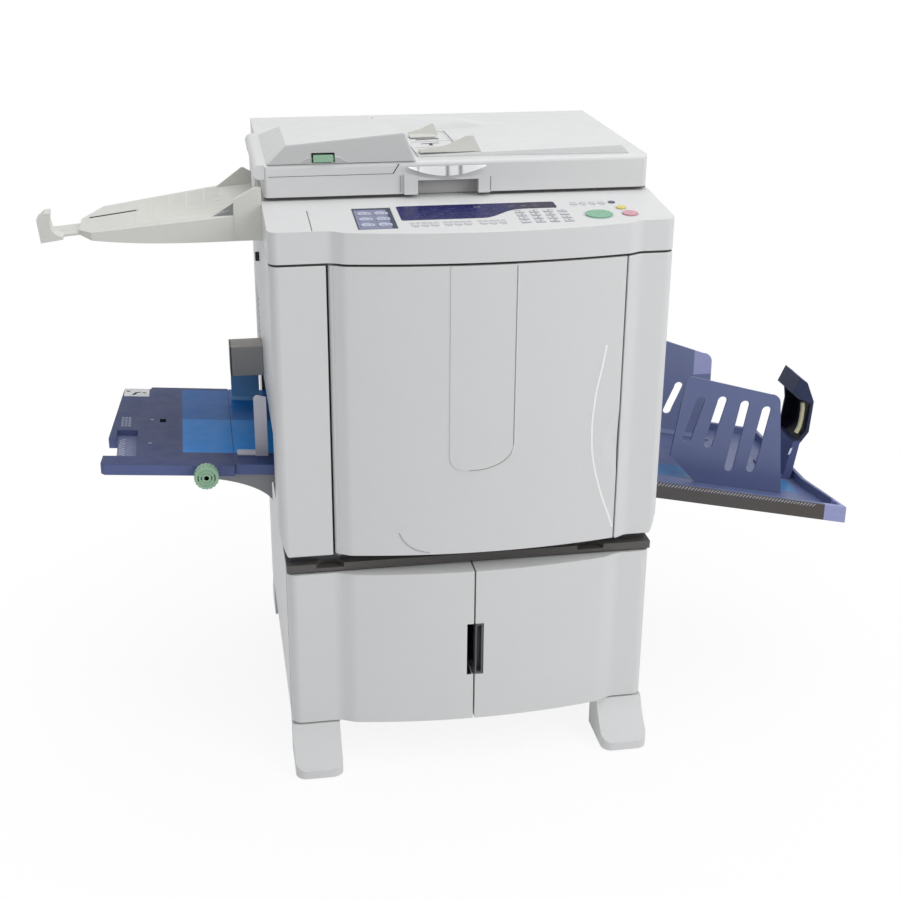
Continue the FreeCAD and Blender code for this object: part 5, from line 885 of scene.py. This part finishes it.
@make_operator
class DUPLICATOR_OT_panel(bpy.types.Operator):
    """Finish the display and the keys, and print the control panel"""

    bl_idname = "duplicator.panel"
    bl_label = "Control panel"

    def execute(self, context):
        c, s = colours(), sizes()
        cover_with("display_window", self.window(c))
        key = moulded("key plastic", c.keys, 0.32, 0.05, 0.15, 1500.0,
                      [(paint(186, 189, 210), lambda f: f.past("X", BODY_MIDDLE - 0.12, -1)),
                       (paint(84, 86, 104), lambda f: f.past("X", BODY_MIDDLE + 0.242))])
        for node, material in (("number_keys", key), ("function_keys", key),
                               ("start_key", glossy("start plastic", c.start, 0.24)),
                               ("stop_key", glossy("stop plastic", c.stop, 0.24)),
                               ("test_key", glossy("test plastic", c.test, 0.24))):
            cover_with(node, material)
            round_edges(node, s.small_edge)
        self.print_keys(c, s)
        self.print_panel(c, s)
        self.draw_screen(c, s)
        self.back_modes(c)
        return {"FINISHED"}

    def window(self, c):
        """The display's window: deep blue that turns to grey-brown at its right tail."""
        f = Finish("display window")
        along = f.span(f.axis("X"), 0.0, 1.0, 0.028, 0.07)
        smear = f.noise(70.0, 4.0, 0.6)
        base = f.mix(along, tuple(c.screen), paint(48, 44, 58))
        base = f.mix(f.span(smear, 0.0, 0.2), base, shade(c.screen, 1.8))
        f.set(base_color=base, roughness=f.span(smear, 0.22, 0.34), normal=f.grain(smear, 0.04, 0.0001))
        f.shader.inputs["Specular IOR Level"].default_value = 0.16
        return f.material

    def print_keys(self, c, s):
        bm = bmesh.new()
        film, top = s.print_film * 1000, 1.2
        signs = ("*", "0", "#", "C", "7", "8", "9", "+", "4", "5", "6", "-", "1", "2", "3", "=")
        for i, sign in enumerate(signs):
            u, v = 84 + 24 * (i % 4), 12 + 17 * (i // 4)
            figure(bm, sign, s.digit * 1000, on_panel, u, v, top + 0.02, film)
        piece("key_figures", bm, moulded("key ink", c.ink, 0.6, 0.1, 0.1), "number_keys",
              smooth=False)

    def print_panel(self, c, s):
        bm = bmesh.new()
        thick, film = s.print_line * 1000, s.print_film * 1000
        for first, wide in ((-97, 32), (-43, 32), (14, 32)):
            for i in range(5):
                a = first - 8 + i * (wide + 16) / 5
                raise_outline(bm, bar((a, 25.5), (a + 7.5, 25.5), thick), 0, film, on_panel)
            raise_outline(bm, bar((first - 9, 21), (first + wide + 8, 21), thick * 0.5), 0, film, on_panel)
            for i in range(3):
                raise_outline(bm, bar((first - 4 + 16 * i, 5), (first + 4 + 16 * i, 5), thick * 0.7),
                              0, film, on_panel)
        for i in range(4):
            u = 184 + 16 * i
            raise_outline(bm, bar((u - 5, 103), (u + 5, 103), thick * 0.8), 0, film, on_panel)
            raise_outline(bm, bar((u - 4, 87), (u + 3, 87), thick * 0.7), 0, film, on_panel)
        for i in range(3):
            raise_outline(bm, bar((78 + 28 * i, 71.5), (88 + 28 * i, 71.5), thick * 0.7), 0, film, on_panel)
        for j in range(4):
            for i in range(4):
                u, v = 84 + 24 * i, 12 + 17 * j
                raise_outline(bm, bar((u - 5, v + 7.0), (u + 4, v + 7.0), thick * 0.6), 0, film, on_panel)
                # The bar under each number key is painted shadow beneath the key, drawn in the panel's ink.
                raise_outline(bm, bar((u - 8, v - 5.6), (u + 8, v - 5.6), thick * 0.7), 0, film, on_panel)
        piece("panel_print_and_key_shadows", bm, moulded("panel ink and key shadows", c.ink, 0.6, 0.1, 0.1), "machine",
              smooth=False)

        bm = bmesh.new()
        outline = circle(0, 0, 1, 44)
        rings = ((212, 36, 25.5, 23.4), (265, 35, 14.6, 14.6), (258, 67, 9.8, 9.8))
        for u, v, wide, deep in rings:
            path = [on_panel(u + wide * a, v + deep * b, 0.1) for a, b in outline]
            sweep(bm, path, [(0.0006, 0.0002), (-0.0006, 0.0002), (-0.0006, -0.0003), (0.0006, -0.0003)], True)
        piece("key_rings", bm, moulded("ring plastic", paint(196, 198, 204), 0.35), "machine")

    def draw_screen(self, c, s):
        bm, bright = bmesh.new(), bmesh.new()
        film, base = s.print_film * 1000, 0.22
        for j, row in enumerate(((-96, -66), (-90, -52, -34), (-78, -40), (-60, -30))):
            for u in row:
                v = 56 + 12 * j
                raise_outline(bm, bar((u, v), (u + 11, v), 1.2), base, base + film, on_panel)
                raise_outline(bm, bar((u + 2, v - 3.4), (u + 8, v - 3.4), 0.8), base, base + film, on_panel)
        for j, wide in enumerate((30, 18, 26)):
            raise_outline(bm, bar((4, 60 + 13 * j), (4 + wide, 60 + 13 * j), 1.0), base, base + film, on_panel)
        for u in (72, 92, 112):
            raise_outline(bright, ring(u, u + 10, 94, 97, 1.2, 2), base, base + film, on_panel)
        raise_outline(bright, ring(12, 24, 94, 99, 1.2, 2), base, base + film, on_panel)
        piece("screen_lines", bm, glossy("screen lines", c.lines, 0.3), "machine", smooth=False)
        piece("screen_lamps", bright, glossy("lamp film", paint(112, 106, 124), 0.3), "machine",
              smooth=False)

    def back_modes(self, c):
        """The blue-grey field between the mode keys, with its frame."""
        bm = bmesh.new()
        low, high = -0.95, -0.35
        left, right, foot, head = -190.4, -126.6, 1.6, 109.4
        columns = ((-172.5 - 11, -172.5 + 11), (-144.5 - 11, -144.5 + 11))
        rows = tuple((21 + 29 * j - 5.5, 21 + 29 * j + 5.5) for j in range(3))
        gap = 0.6
        edge = foot
        for a, b in rows:
            raise_outline(bm, ring(left, right, edge, a - gap, 0.3, 1), low, high, on_panel)
            edge = b + gap
            start = left
            for p, q in columns:
                raise_outline(bm, ring(start, p - gap, a - gap, b + gap, 0.1, 1), low, high, on_panel)
                start = q + gap
            raise_outline(bm, ring(start, right, a - gap, b + gap, 0.1, 1), low, high, on_panel)
        raise_outline(bm, ring(left, right, edge, head, 0.3, 1), low, high, on_panel)
        piece("mode_field", bm, moulded("mode field", c.slate, 0.4, 0.05, 0.1, gloss=0.1), "machine",
              smooth=False)
        frame_bars = bmesh.new()
        for a, b, c0, d in ((left, right, head - 8, head - 0.6), (right - 8.5, right, foot, head - 8),
                            (left, right, foot, foot + 2.2), (left, left + 2.2, foot, head - 8)):
            raise_outline(frame_bars, ring(a, b, c0, d, 0.3, 1), high, high + 0.12, on_panel)
        piece("mode_frame", frame_bars, moulded("mode frame", paint(72, 77, 92), 0.45, 0.05, 0.1, gloss=0.1),
              "machine", smooth=False)

        marks = bmesh.new()
        for j in range(3):
            for i in range(2):
                u, v = -172.5 + 28 * i, 21 + 29 * j
                raise_outline(marks, bar((u - 9, v + 9.5), (u + 8, v + 9.5), 1.0), high, high + 0.1, on_panel)
                raise_outline(marks, bar((u - 7, v + 12.5), (u + 3, v + 12.5), 1.0), high, high + 0.1, on_panel)
        piece("mode_marks", marks, moulded("pale print", paint(226, 228, 238), 0.5), "machine",
              smooth=False)

        tops = bmesh.new()
        for j in range(3):
            for i in range(2):
                u, v = -172.5 + 28 * i, 21 + 29 * j
                raise_outline(tops, bar((u - 6, v), (u + 1, v), 1.0), 1.0, 1.1, on_panel)
                raise_outline(tops, circle(u + 6, v, 1.4, 12), 1.0, 1.1, on_panel)
        piece("mode_tops", tops, moulded("mode ink", c.ink, 0.6), "function_keys", smooth=False)


@make_operator
class DUPLICATOR_OT_lid(bpy.types.Operator):
    """Finish the scanner, the lid, the feeder and the document tray"""

    bl_idname = "duplicator.lid"
    bl_label = "Lid and feeder"

    def execute(self, context):
        c, s = colours(), sizes()
        shell = moulded("lid plastic", c.shell, 0.4, 0.03, 0.2)
        cover_with("stage_glass", clear_glass("float glass"))
        cover_with("scan_carriage", bare_metal("carriage alloy", paint(176, 178, 182)))
        # Two painted shades on the lid's base: a near-black band on its front faces below 1006.2 mm, painted shadow
        # under the lid's edge, and a darker grey inside the handle's finger recess, painted shade there.
        cover_with("lid_base", moulded("lid base plastic", c.shell, 0.4, 0.03, 0.2, 1500.0, [
            (paint(30, 30, 32), lambda f: f.both(f.past("Z", 1.0062, -1, 0.0004), f.turned("Y", -1, 0.2))),
            (shade(c.shell, 0.6), lambda f: f.both(
                f.past("X", BODY_MIDDLE - 0.0722), f.past("X", BODY_MIDDLE + 0.0322, -1),
                f.past("Y", -0.1405), f.past("Y", -0.12, -1), f.past("Z", 1.0302, -1)))]))
        round_edges("lid_base", s.lid_edge, 3)
        # The feeder cover's front faces are painted darker than its other faces, a painted shade.
        cover_with("feeder_cover", moulded("feeder cover plastic", c.shell, 0.4, 0.03, 0.2, 1500.0,
                                           [(shade(c.shell, 0.68), lambda f: f.turned("Y", -1, 0.6))]))
        round_edges("feeder_cover", s.small_edge)
        cover_with("document_tray", shell)
        round_edges("document_tray", s.tray_edge)
        cover_with("lid_pad", napped("platen sheet", paint(240, 240, 238)))
        cover_with("feeder_rollers", rubbery("feeder rubber", paint(96, 98, 100)))
        cover_with("release_lever", moulded("lever plastic", c.mint, 0.4, 0.08, 0.4))
        round_edges("release_lever", s.small_edge)
        guide = moulded("guide plastic", c.tray, 0.38, 0.04, 0.25)
        for node in ("document_guide_front", "document_guide_rear"):
            cover_with(node, guide)
            round_edges(node, s.small_edge)
        self.part_lines(s)
        self.mark_tray()
        return {"FINISHED"}

    def part_lines(self, s):
        dark = moulded("parting line", paint(46, 46, 48), 0.8)
        # The crescent brow over the handle is a thin lip in a lighter tint of the shell, a painted highlight.
        brow = bmesh.new()
        middle = (HANDLE_RIGHT + HANDLE_LEFT) / 2
        half = (HANDLE_RIGHT - HANDLE_LEFT) / 2 - 7
        for i in range(24):
            a, b = (-half + 2 * half * k / 24 for k in (i, i + 1))
            drop = [BROW_DROP * (1 - (t / half) ** 2) + 0.3 for t in (a, b)]
            corners = [brow.verts.new(on_front(middle + t, HANDLE_TOP - d, h)) for t, d, h in
                       ((a, drop[0], 8.6), (b, drop[1], 8.6), (b, -0.4, 6.4), (a, -0.4, 6.4))]
            rear = [brow.verts.new(v.co + Vector((0, 0.002, 0))) for v in corners]
            brow.faces.new(corners)
            brow.faces.new(list(reversed(rear)))
            for k in range(4):
                m = (k + 1) % 4
                brow.faces.new((corners[k], rear[k], rear[m], corners[m]))
        bmesh.ops.remove_doubles(brow, verts=brow.verts, dist=0.00001)
        piece("handle_brow_highlight", brow, moulded("brow highlight plastic", shade(colours().shell, 1.3), 0.4, 0.03, 0.15), "lid")
        wide = s.seam * 1000
        bm = bmesh.new()
        for a, b in (((-322, 1041), (-113, 1041)), ((-113, 1041), (-103, 1057))):
            raise_outline(bm, bar(a, b, wide * (1.5 if b[0] > -110 else 0.7)), -0.2, 0.15, on_front)
        raise_outline(bm, bar((54, 1008), (54, 1032), wide * 1.3), -0.2, 0.15, on_front)
        raise_outline(bm, bar((-101, 1010), (-101, 1036), wide * 0.4), -0.2, 0.15, on_front)
        piece("lid_parting_lines", bm, dark, "lid", smooth=False)

    def mark_tray(self):
        """The dark scale plate by the rear guide and the size mark in the middle of the tray."""
        dark = moulded("scale ink", paint(34, 34, 36), 0.6)
        bm = bmesh.new()

        def on_rest(x, y, h=0.0):
            rise = 3 + (x + 66) * (11.0 / 354.0)
            return on_lid(x, y, rise + h)
        raise_outline(bm, bar((-50, 26), (-8, 29), 7), 0.05, 0.2, on_rest)
        raise_outline(bm, bar((-46, -12), (-14, -12), 4), 0.05, 0.2, on_rest)
        raise_outline(bm, bar((-30, -12), (-30, -30), 6), 0.05, 0.2, on_rest)
        for y in (6, -44):
            raise_outline(bm, bar((-62, y), (22, y), 0.7), 0.05, 0.2, on_rest)
        piece("tray_scale", bm, dark, "lid", smooth=False)


@make_operator
class DUPLICATOR_OT_original_tray(bpy.types.Operator):
    """Finish the original tray with its ribs and sliding stop"""

    bl_idname = "duplicator.original_tray"
    bl_label = "Original tray"

    def execute(self, context):
        c, s = colours(), sizes()
        white = moulded("tray plastic", c.tray, 0.42, 0.05, 0.3)
        for node in ("original_tray", "original_stop"):
            cover_with(node, white)
            round_edges(node, s.tray_edge)
        slope = (983.0 - 958.0) / (636.0 - 341.0)

        def on_tray(x, y, h=0.0):
            return spot(x, y, 983.0 + (x + 341.0) * slope + h)
        ribs = bmesh.new()
        pitch = s.rib_pitch * 1000
        for i in range(int(330 / pitch)):
            start = -545 - 190 + pitch * i
            low, high = max(-128.0, -545 - start - 128), 84.0
            for foot in [low + 30 * k for k in range(int((high - low) / 30) + 1)]:
                head = min(foot + 24, high)
                a, b = start + foot + 128, start + head + 128
                if a < -545 or b > -388 or head - foot < 4 or head > 97 + (b + 410) * 0.27 - 6:
                    continue
                raise_outline(ribs, bar((a, foot), (b, head), 1.2), -0.2, 0.35, on_tray)
        # The ribs are coloured lighter than the tray around them, a painted highlight.
        piece("tray_ribs", ribs, moulded("rib highlight plastic", shade(c.tray, 1.12), 0.42, 0.05, 0.2), "machine",
              smooth=False)
        # The grey triangle is painted shade in the gap between the tray and its bracket.
        dark = bmesh.new()
        raise_outline(dark, [(-416, -134.5), (-382, -142), (-379, -54)], 0.02, 0.25, on_tray)
        piece("tray_recess_shadow", dark, moulded("recess shadow grey", paint(120, 122, 122), 0.7), "machine",
              smooth=False)
        # The near-black strip sunk in the slit is painted shade inside the slit.
        strip = bmesh.new()
        raise_outline(strip, [(-622, -42.6), (-542, -26.2), (-542, -18.2), (-622, -34.6)], -1.6, -0.5, on_tray)
        piece("slit_strip", strip, moulded("slit shadow", paint(16, 16, 18), 0.8, gloss=0.05), "machine",
              smooth=False)
        return {"FINISHED"}


@make_operator
class DUPLICATOR_OT_feed(bpy.types.Operator):
    """Finish the paper feed: carrier, table, tray, guides, knob and feed head"""

    bl_idname = "duplicator.feed"
    bl_label = "Paper feed"

    def execute(self, context):
        c, s = colours(), sizes()

        def plate(f):
            """The blue field on top of the tray, towards the machine."""
            return f.both(f.past("X", BODY_MIDDLE - 0.491), f.past("Y", -0.139), f.past("Y", 0.183, -1),
                          f.turned("Z", 1, 0.9))

        def behind(f):
            return f.both(plate(f), f.past("Y", 0.024, 1, 0.004))

        def cup(f):
            """The pale floor of the finger cup."""
            return f.both(f.past("X", BODY_MIDDLE - 0.608), f.past("X", BODY_MIDDLE - 0.570, -1),
                          f.past("Y", -0.159), f.past("Y", -0.035, -1), f.past("Z", 0.5575, -1, 0.001),
                          f.turned("Z", 1, 0.8))
        dim = paint(14, 100, 178)
        # The upward faces of the feed tray and table take a darker navy, a painted shade.
        shaded_top = paint(56, 68, 116)
        navy = moulded("feed tray plastic", c.navy, 0.4, 0.1, 0.35, 1500.0,
                       [(shaded_top, lambda f: f.turned("Z", 1, 0.9)),
                        (c.azure, plate), (dim, behind), (paint(134, 142, 178), cup)], 0.16)
        azure = moulded("feed table plastic", c.azure, 0.36, 0.1, 0.3, 1500.0,
                        [(dim, lambda f: f.past("Y", 0.024, 1, 0.004)),
                         (c.navy, lambda f: f.past("Y", -0.139, -1)),
                         (shaded_top, lambda f: f.both(f.past("Y", -0.139, -1), f.turned("Z", 1, 0.9)))],
                        0.16)
        cover_with("feed_tray", navy)
        round_edges("feed_tray", s.tray_edge)
        cover_with("feed_table", azure)
        round_edges("feed_table", s.small_edge)
        cover_with("feed_guide_front", moulded("front guide plastic", paint(204, 204, 216), 0.4, 0.1, 0.3))
        cover_with("feed_guide_rear", moulded("rear guide plastic", paint(108, 158, 204), 0.4, 0.1, 0.3))
        for node in ("feed_guide_front", "feed_guide_rear"):
            round_edges(node, s.small_edge)
        cover_with("feed_carrier", moulded("carrier plastic", paint(150, 152, 156), 0.5, 0.1, 0.4))
        round_edges("feed_carrier", s.small_edge)
        cover_with("feed_housing", moulded(
            "feed head plastic", c.housing, 0.48, 0.08, 0.4, 1500.0,
            [(paint(168, 166, 162), lambda f: f.both(f.past("X", BODY_MIDDLE - 0.3935),
                                                     f.past("X", BODY_MIDDLE - 0.3915, -1))),
             (paint(64, 62, 60), lambda f: f.past("X", BODY_MIDDLE - 0.3935, -1))]))
        round_edges("feed_housing", s.tray_edge)
        cover_with("shift_dial", moulded("knob plastic", c.mint, 0.4, 0.1, 0.4))
        round_edges("shift_dial", s.small_edge)
        self.fit_tray(c)
        self.dress_knob()
        return {"FINISHED"}

    def fit_tray(self, c):
        white = moulded("plate film", paint(238, 238, 240), 0.35, 0.05, 0.1)
        bm = bmesh.new()
        raise_outline(bm, ring(-601, -553.5, 141, 181, 1.0), 0.02, 0.4, on_feed, 0.1)
        piece("direction_plate", bm, white, "feed_tray")
        ink = bmesh.new()
        fold = bmesh.new()
        raise_outline(fold, ring(-402.4, -401.6, -191, 190, 0.2, 1), -17.5, -0.7, on_feed)
        piece("fold_strip", fold, moulded("fold strip plastic", c.navy, 0.5), "feed_table",
              smooth=False)
        for a, b, wide in (((-597, 170), (-590, 168), 4.0), ((-584, 150), (-577, 162), 5.0),
                           ((-577, 162), (-569, 165), 3.0), ((-566, 163), (-560, 160), 4.0)):
            raise_outline(ink, bar(a, b, wide), 0.4, 0.5, on_feed)
        raise_outline(ink, ring(-532, -521, 7, 22, 1.5), 0.02, 0.25, on_feed)
        piece("tray_marks", ink, moulded("tray ink", paint(5, 5, 8), 0.8, gloss=0.03), "feed_tray")
        grid = bmesh.new()
        for j in range(4):
            for i in range(3):
                x, y = -601 + 6.2 * i, -20 + 12.6 * j
                raise_outline(grid, ring(x, x + 4.8, y, y + 10.8, 0.8, 2), 0.02, 0.5, on_feed, 0.15)
        for x, y in ((-548, -98), (-546, 18)):
            raise_outline(grid, circle(x, y, 3.6, 20), 0.02, 0.3, on_feed, 0.1)
        piece("size_window", grid, moulded("window plastic", paint(132, 140, 172), 0.35, 0.1, 0.2),
              "feed_tray")
        grips = bmesh.new()
        for i in range(11):
            y = -150 + 8.4 * i
            raise_outline(grips, bar((-603, y), (-592, y + 9), 2.0), -10.4, -9.0, on_feed, 0.3)
        piece("cup_ribs", grips, moulded("cup rib highlight plastic", paint(196, 202, 224), 0.4, 0.1, 0.3), "feed_tray")

    def dress_knob(self):
        """The stepped face of the side-shift knob: rim, dish and a dark screw."""
        rim, dark = bmesh.new(), bmesh.new()
        low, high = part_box("shift_dial")
        centre = ((low.x + high.x) / 2, (low.z + high.z) / 2)
        front = low.y

        def place(a, b, h):
            return Vector((centre[0] + a / 1000, front + 0.0004 - h / 1000, centre[1] + b / 1000))
        for radius in (14.5, 9.0):
            path = [place(radius * math.cos(t), radius * math.sin(t), 0.0)
                    for t in [2 * math.pi * i / 36 for i in range(36)]]
            sweep(rim, path, [(0.0009, 0.0003), (-0.0009, 0.0003), (-0.0009, -0.0004), (0.0009, -0.0004)], True)
        raise_outline(dark, circle(0, 0, 4.4, 24), 0.0, 0.4, place, 0.2)
        piece("knob_rings", rim, moulded("knob ring", paint(116, 150, 124), 0.4), "shift_dial")
        piece("knob_screw", dark, bare_metal("knob screw", paint(60, 62, 60)), "shift_dial")


@make_operator
class DUPLICATOR_OT_receiving(bpy.types.Operator):
    """Finish the receiving tray, its fences and the stopper with its foam"""

    bl_idname = "duplicator.receiving"
    bl_label = "Receiving tray"

    def execute(self, context):
        c, s = colours(), sizes()

        def strip(f):
            """The grey-brown strip along the tray's front face."""
            return f.both(f.turned("Y", -1), f.past("X", BODY_MIDDLE + 0.7, -1), f.past("Y", -0.197, -1))

        def cap(f):
            """The pale cap at the near outer corner."""
            return f.both(f.past("X", BODY_MIDDLE + 0.7), f.past("Y", -0.165, -1))
        cover_with("receiving_tray", moulded("receiving plastic", c.catch, 0.4, 0.1, 0.35, 1500.0,
                                             [(c.strip, strip), (c.cap, cap)]))
        round_edges("receiving_tray", s.tray_edge)
        cover_with("receiving_guide_front", moulded("fence plastic", c.catch, 0.38, 0.1, 0.3))
        cover_with("receiving_guide_rear", moulded(
            "rear fence plastic", paint(122, 131, 168), 0.38, 0.1, 0.3, 1500.0,
            [(paint(176, 178, 222), lambda f: f.both(f.past("X", BODY_MIDDLE + 0.546),
                                                     f.past("Z", 0.545)))]))
        for node in ("receiving_guide_front", "receiving_guide_rear"):
            round_edges(node, s.small_edge)

        def hood(f):
            return f.past("Z", 0.464, 1, 0.004)

        def hollow(f):
            """The inside of the hood and the faces under it, painted near black as shade."""
            inside = f.both(f.past("Z", 0.466), f.past("Z", 0.5525, -1))
            left = f.both(f.turned("X", -1, 0.3), f.past("X", BODY_MIDDLE + 0.7025))
            rear = f.both(f.turned("Y", -1), f.past("Y", 0.02))
            under = f.both(f.turned("Z", -1, 0.3), f.past("Y", 0.0352, -1))
            return f.both(inside, f.math("MAXIMUM", left, f.math("MAXIMUM", rear, under)))

        def rim(f):
            """The pale bent edge at the hood's right."""
            return f.both(f.turned("X", 1, 0.6), f.past("Z", 0.48))
        # The near-black inside the hood is painted shade.
        cover_with("paper_stopper", moulded("stopper plastic", paint(84, 92, 134), 0.42, 0.08, 0.35, 1500.0,
                                            [(c.stopper, hood), (c.cap, rim), (paint(6, 6, 8), hollow)], 0.15))
        round_edges("paper_stopper", s.small_edge)
        self.line_stopper(c)
        self.hatch_edge(c, s)
        self.line_tray(c)
        return {"FINISHED"}

    def line_stopper(self, c):
        """The foam strip that catches the sheets, and the small window in the stem."""
        foam = bmesh.new()
        half = sizes().foam * 500
        path = [spot(712.0, -26, 541), spot(713.2, -26, 528), spot(712.6, -26, 508), spot(710.2, -26, 490),
                spot(704.6, -26, 477)]
        oval = [(half / 1000 * math.cos(t), half / 1000 * math.sin(t)) for t in
                [2 * math.pi * i / 12 for i in range(12)]]
        sweep(foam, path, oval)
        strip = piece("stopper_foam", foam, foamed("foam", c.foam), "paper_stopper")
        window = bmesh.new()
        raise_outline(window, [(689, 449), (694, 451), (690.5, 438), (685.5, 436)], 0.05, 0.4,
                      lambda x, z, h: spot(x, -40 - h, z))
        piece("stem_window", window, moulded("window white", paint(228, 230, 240), 0.5), "paper_stopper",
              smooth=False)

    def hatch_edge(self, c, s):
        """Small slanted grip hatches along the upper edge of the tray's front face, coloured pale as a painted
        highlight.
        """
        bm = bmesh.new()
        pitch = s.hatch_pitch * 1000
        for i in range(int(344 / pitch)):
            x = 342 + pitch * i

            def on_face(a, b, h=0.0, x=x):
                drop = (a - 335) * CATCH_SLOPE
                return spot(a, -200 - h, CATCH_INNER_TOP - drop - b)
            raise_outline(bm, bar((x, 7.4), (x + 5.6, 2.0), 1.1), -0.1, 0.35, on_face, 0.1)
        piece("grip_hatches", bm, moulded("hatch highlight plastic", paint(186, 186, 196), 0.4), "machine")

    def line_tray(self, c):
        """The bright blue runner on the floor of the dish."""
        bm = bmesh.new()
        raise_outline(bm, ring(372, 684, -112, -52, 3), 0.02, 0.2, on_catch)
        piece("tray_runner", bm, moulded("runner plastic", paint(66, 118, 170), 0.35, 0.1, 0.2), "machine")


@make_operator
class DUPLICATOR_OT_insides(bpy.types.Operator):
    """Finish what the covers and doors hide: frame, drum, rollers, drive and electrics"""

    bl_idname = "duplicator.insides"
    bl_label = "Print unit and frame"

    def execute(self, context):
        c = colours()
        for node, material in (
                ("base_pan", painted("pan paint", shade(c.steel, 0.5))),
                ("front_frame", painted("front frame paint", c.steel)),
                ("rear_frame", painted("rear frame paint", c.steel)),
                ("pickup_roller", rubbery("pickup rubber", paint(98, 100, 102))),
                ("timing_roller", rubbery("timing rubber", paint(88, 90, 92))),
                ("print_drum", screen_mesh("drum screen", paint(176, 178, 180))),
                ("drum_carrier", moulded("carrier grey", paint(120, 124, 130), 0.45, 0.1, 0.4)),
                ("ink_cartridge", moulded("cartridge plastic", paint(224, 224, 220), 0.36, 0.06, 0.2)),
                ("pressure_roller", rubbery("press rubber", paint(52, 52, 54))),
                ("drive_pinion", moulded("gear plastic", paint(226, 222, 206), 0.4, 0.08, 0.3)),
                ("main_motor", painted("motor paint", paint(60, 60, 64))),
                ("master_roll", wound_sheet("master sheet", paint(232, 228, 214))),
                ("thermal_head", bare_metal("head alloy", paint(180, 180, 184))),
                ("used_master_box", moulded("box plastic", paint(150, 154, 158), 0.3, 0.06, 0.2)),
                ("exit_belt_unit", moulded("belt unit plastic", paint(104, 104, 106), 0.5, 0.1, 0.4)),
                ("electrical_unit", circuit("circuit board")),
                ("power_switch", glossy("switch plastic", paint(46, 46, 48), 0.25))):
            cover_with(node, material)
        self.mark_switch()
        return {"FINISHED"}

    def mark_switch(self):
        """The line of a power switch."""
        low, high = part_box("power_switch")
        x, y, z = high.x, (low.y + high.y) / 2, (low.z + high.z) / 2
        bm = bmesh.new()

        def place(a, b, h):
            return Vector((x - 0.0004 + h / 1000, y + a / 1000, z + b / 1000))
        raise_outline(bm, bar((-2.2, 3.4), (2.2, 3.4), 0.8), -0.2, 0.3, place)
        piece("switch_mark", bm, moulded("switch print", paint(230, 230, 230), 0.5), "power_switch",
              smooth=False)


STEPS = (DUPLICATOR_OT_stage, DUPLICATOR_OT_shell, DUPLICATOR_OT_stand, DUPLICATOR_OT_panel,
         DUPLICATOR_OT_lid, DUPLICATOR_OT_original_tray, DUPLICATOR_OT_feed,
         DUPLICATOR_OT_receiving, DUPLICATOR_OT_insides)


class DUPLICATOR_PT_panel(bpy.types.Panel):
    """Lists the steps that dress the duplicator"""

    bl_label = "Duplicator"
    bl_idname = "DUPLICATOR_PT_panel"
    bl_space_type = "VIEW_3D"
    bl_region_type = "UI"
    bl_category = "Duplicator"

    def draw(self, context):
        column = self.layout.column(align=True)
        for step in STEPS:
            column.operator(step.bl_idname)
        for group in (context.scene.duplicator_colours, context.scene.duplicator_sizes,
                      context.scene.duplicator_stage):
            box = self.layout.box().column(align=True)
            for name in group.bl_rna.properties.keys():
                if name not in ("rna_type", "name"):
                    box.prop(group, name)


GROUPS = (("duplicator_colours", DuplicatorColours), ("duplicator_sizes", DuplicatorSizes),
          ("duplicator_stage", DuplicatorStage))


def register():
    for name, group in GROUPS:
        bpy.utils.register_class(group)
        setattr(bpy.types.Scene, name, bpy.props.PointerProperty(type=group))
    for cls in (*STEPS, DUPLICATOR_PT_panel):
        bpy.utils.register_class(cls)


def unregister():
    for cls in reversed((*STEPS, DUPLICATOR_PT_panel)):
        bpy.utils.unregister_class(cls)
    for name, group in reversed(GROUPS):
        delattr(bpy.types.Scene, name)
        bpy.utils.unregister_class(group)


def main():
    """Dress the duplicator, one step after another."""
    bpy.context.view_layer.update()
    register()
    for step in STEPS:
        family, name = step.bl_idname.split(".")
        if getattr(getattr(bpy.ops, family), name)() != {"FINISHED"}:
            raise RuntimeError("step did not finish: " + step.bl_idname)


if __name__ == "__main__":
    main()
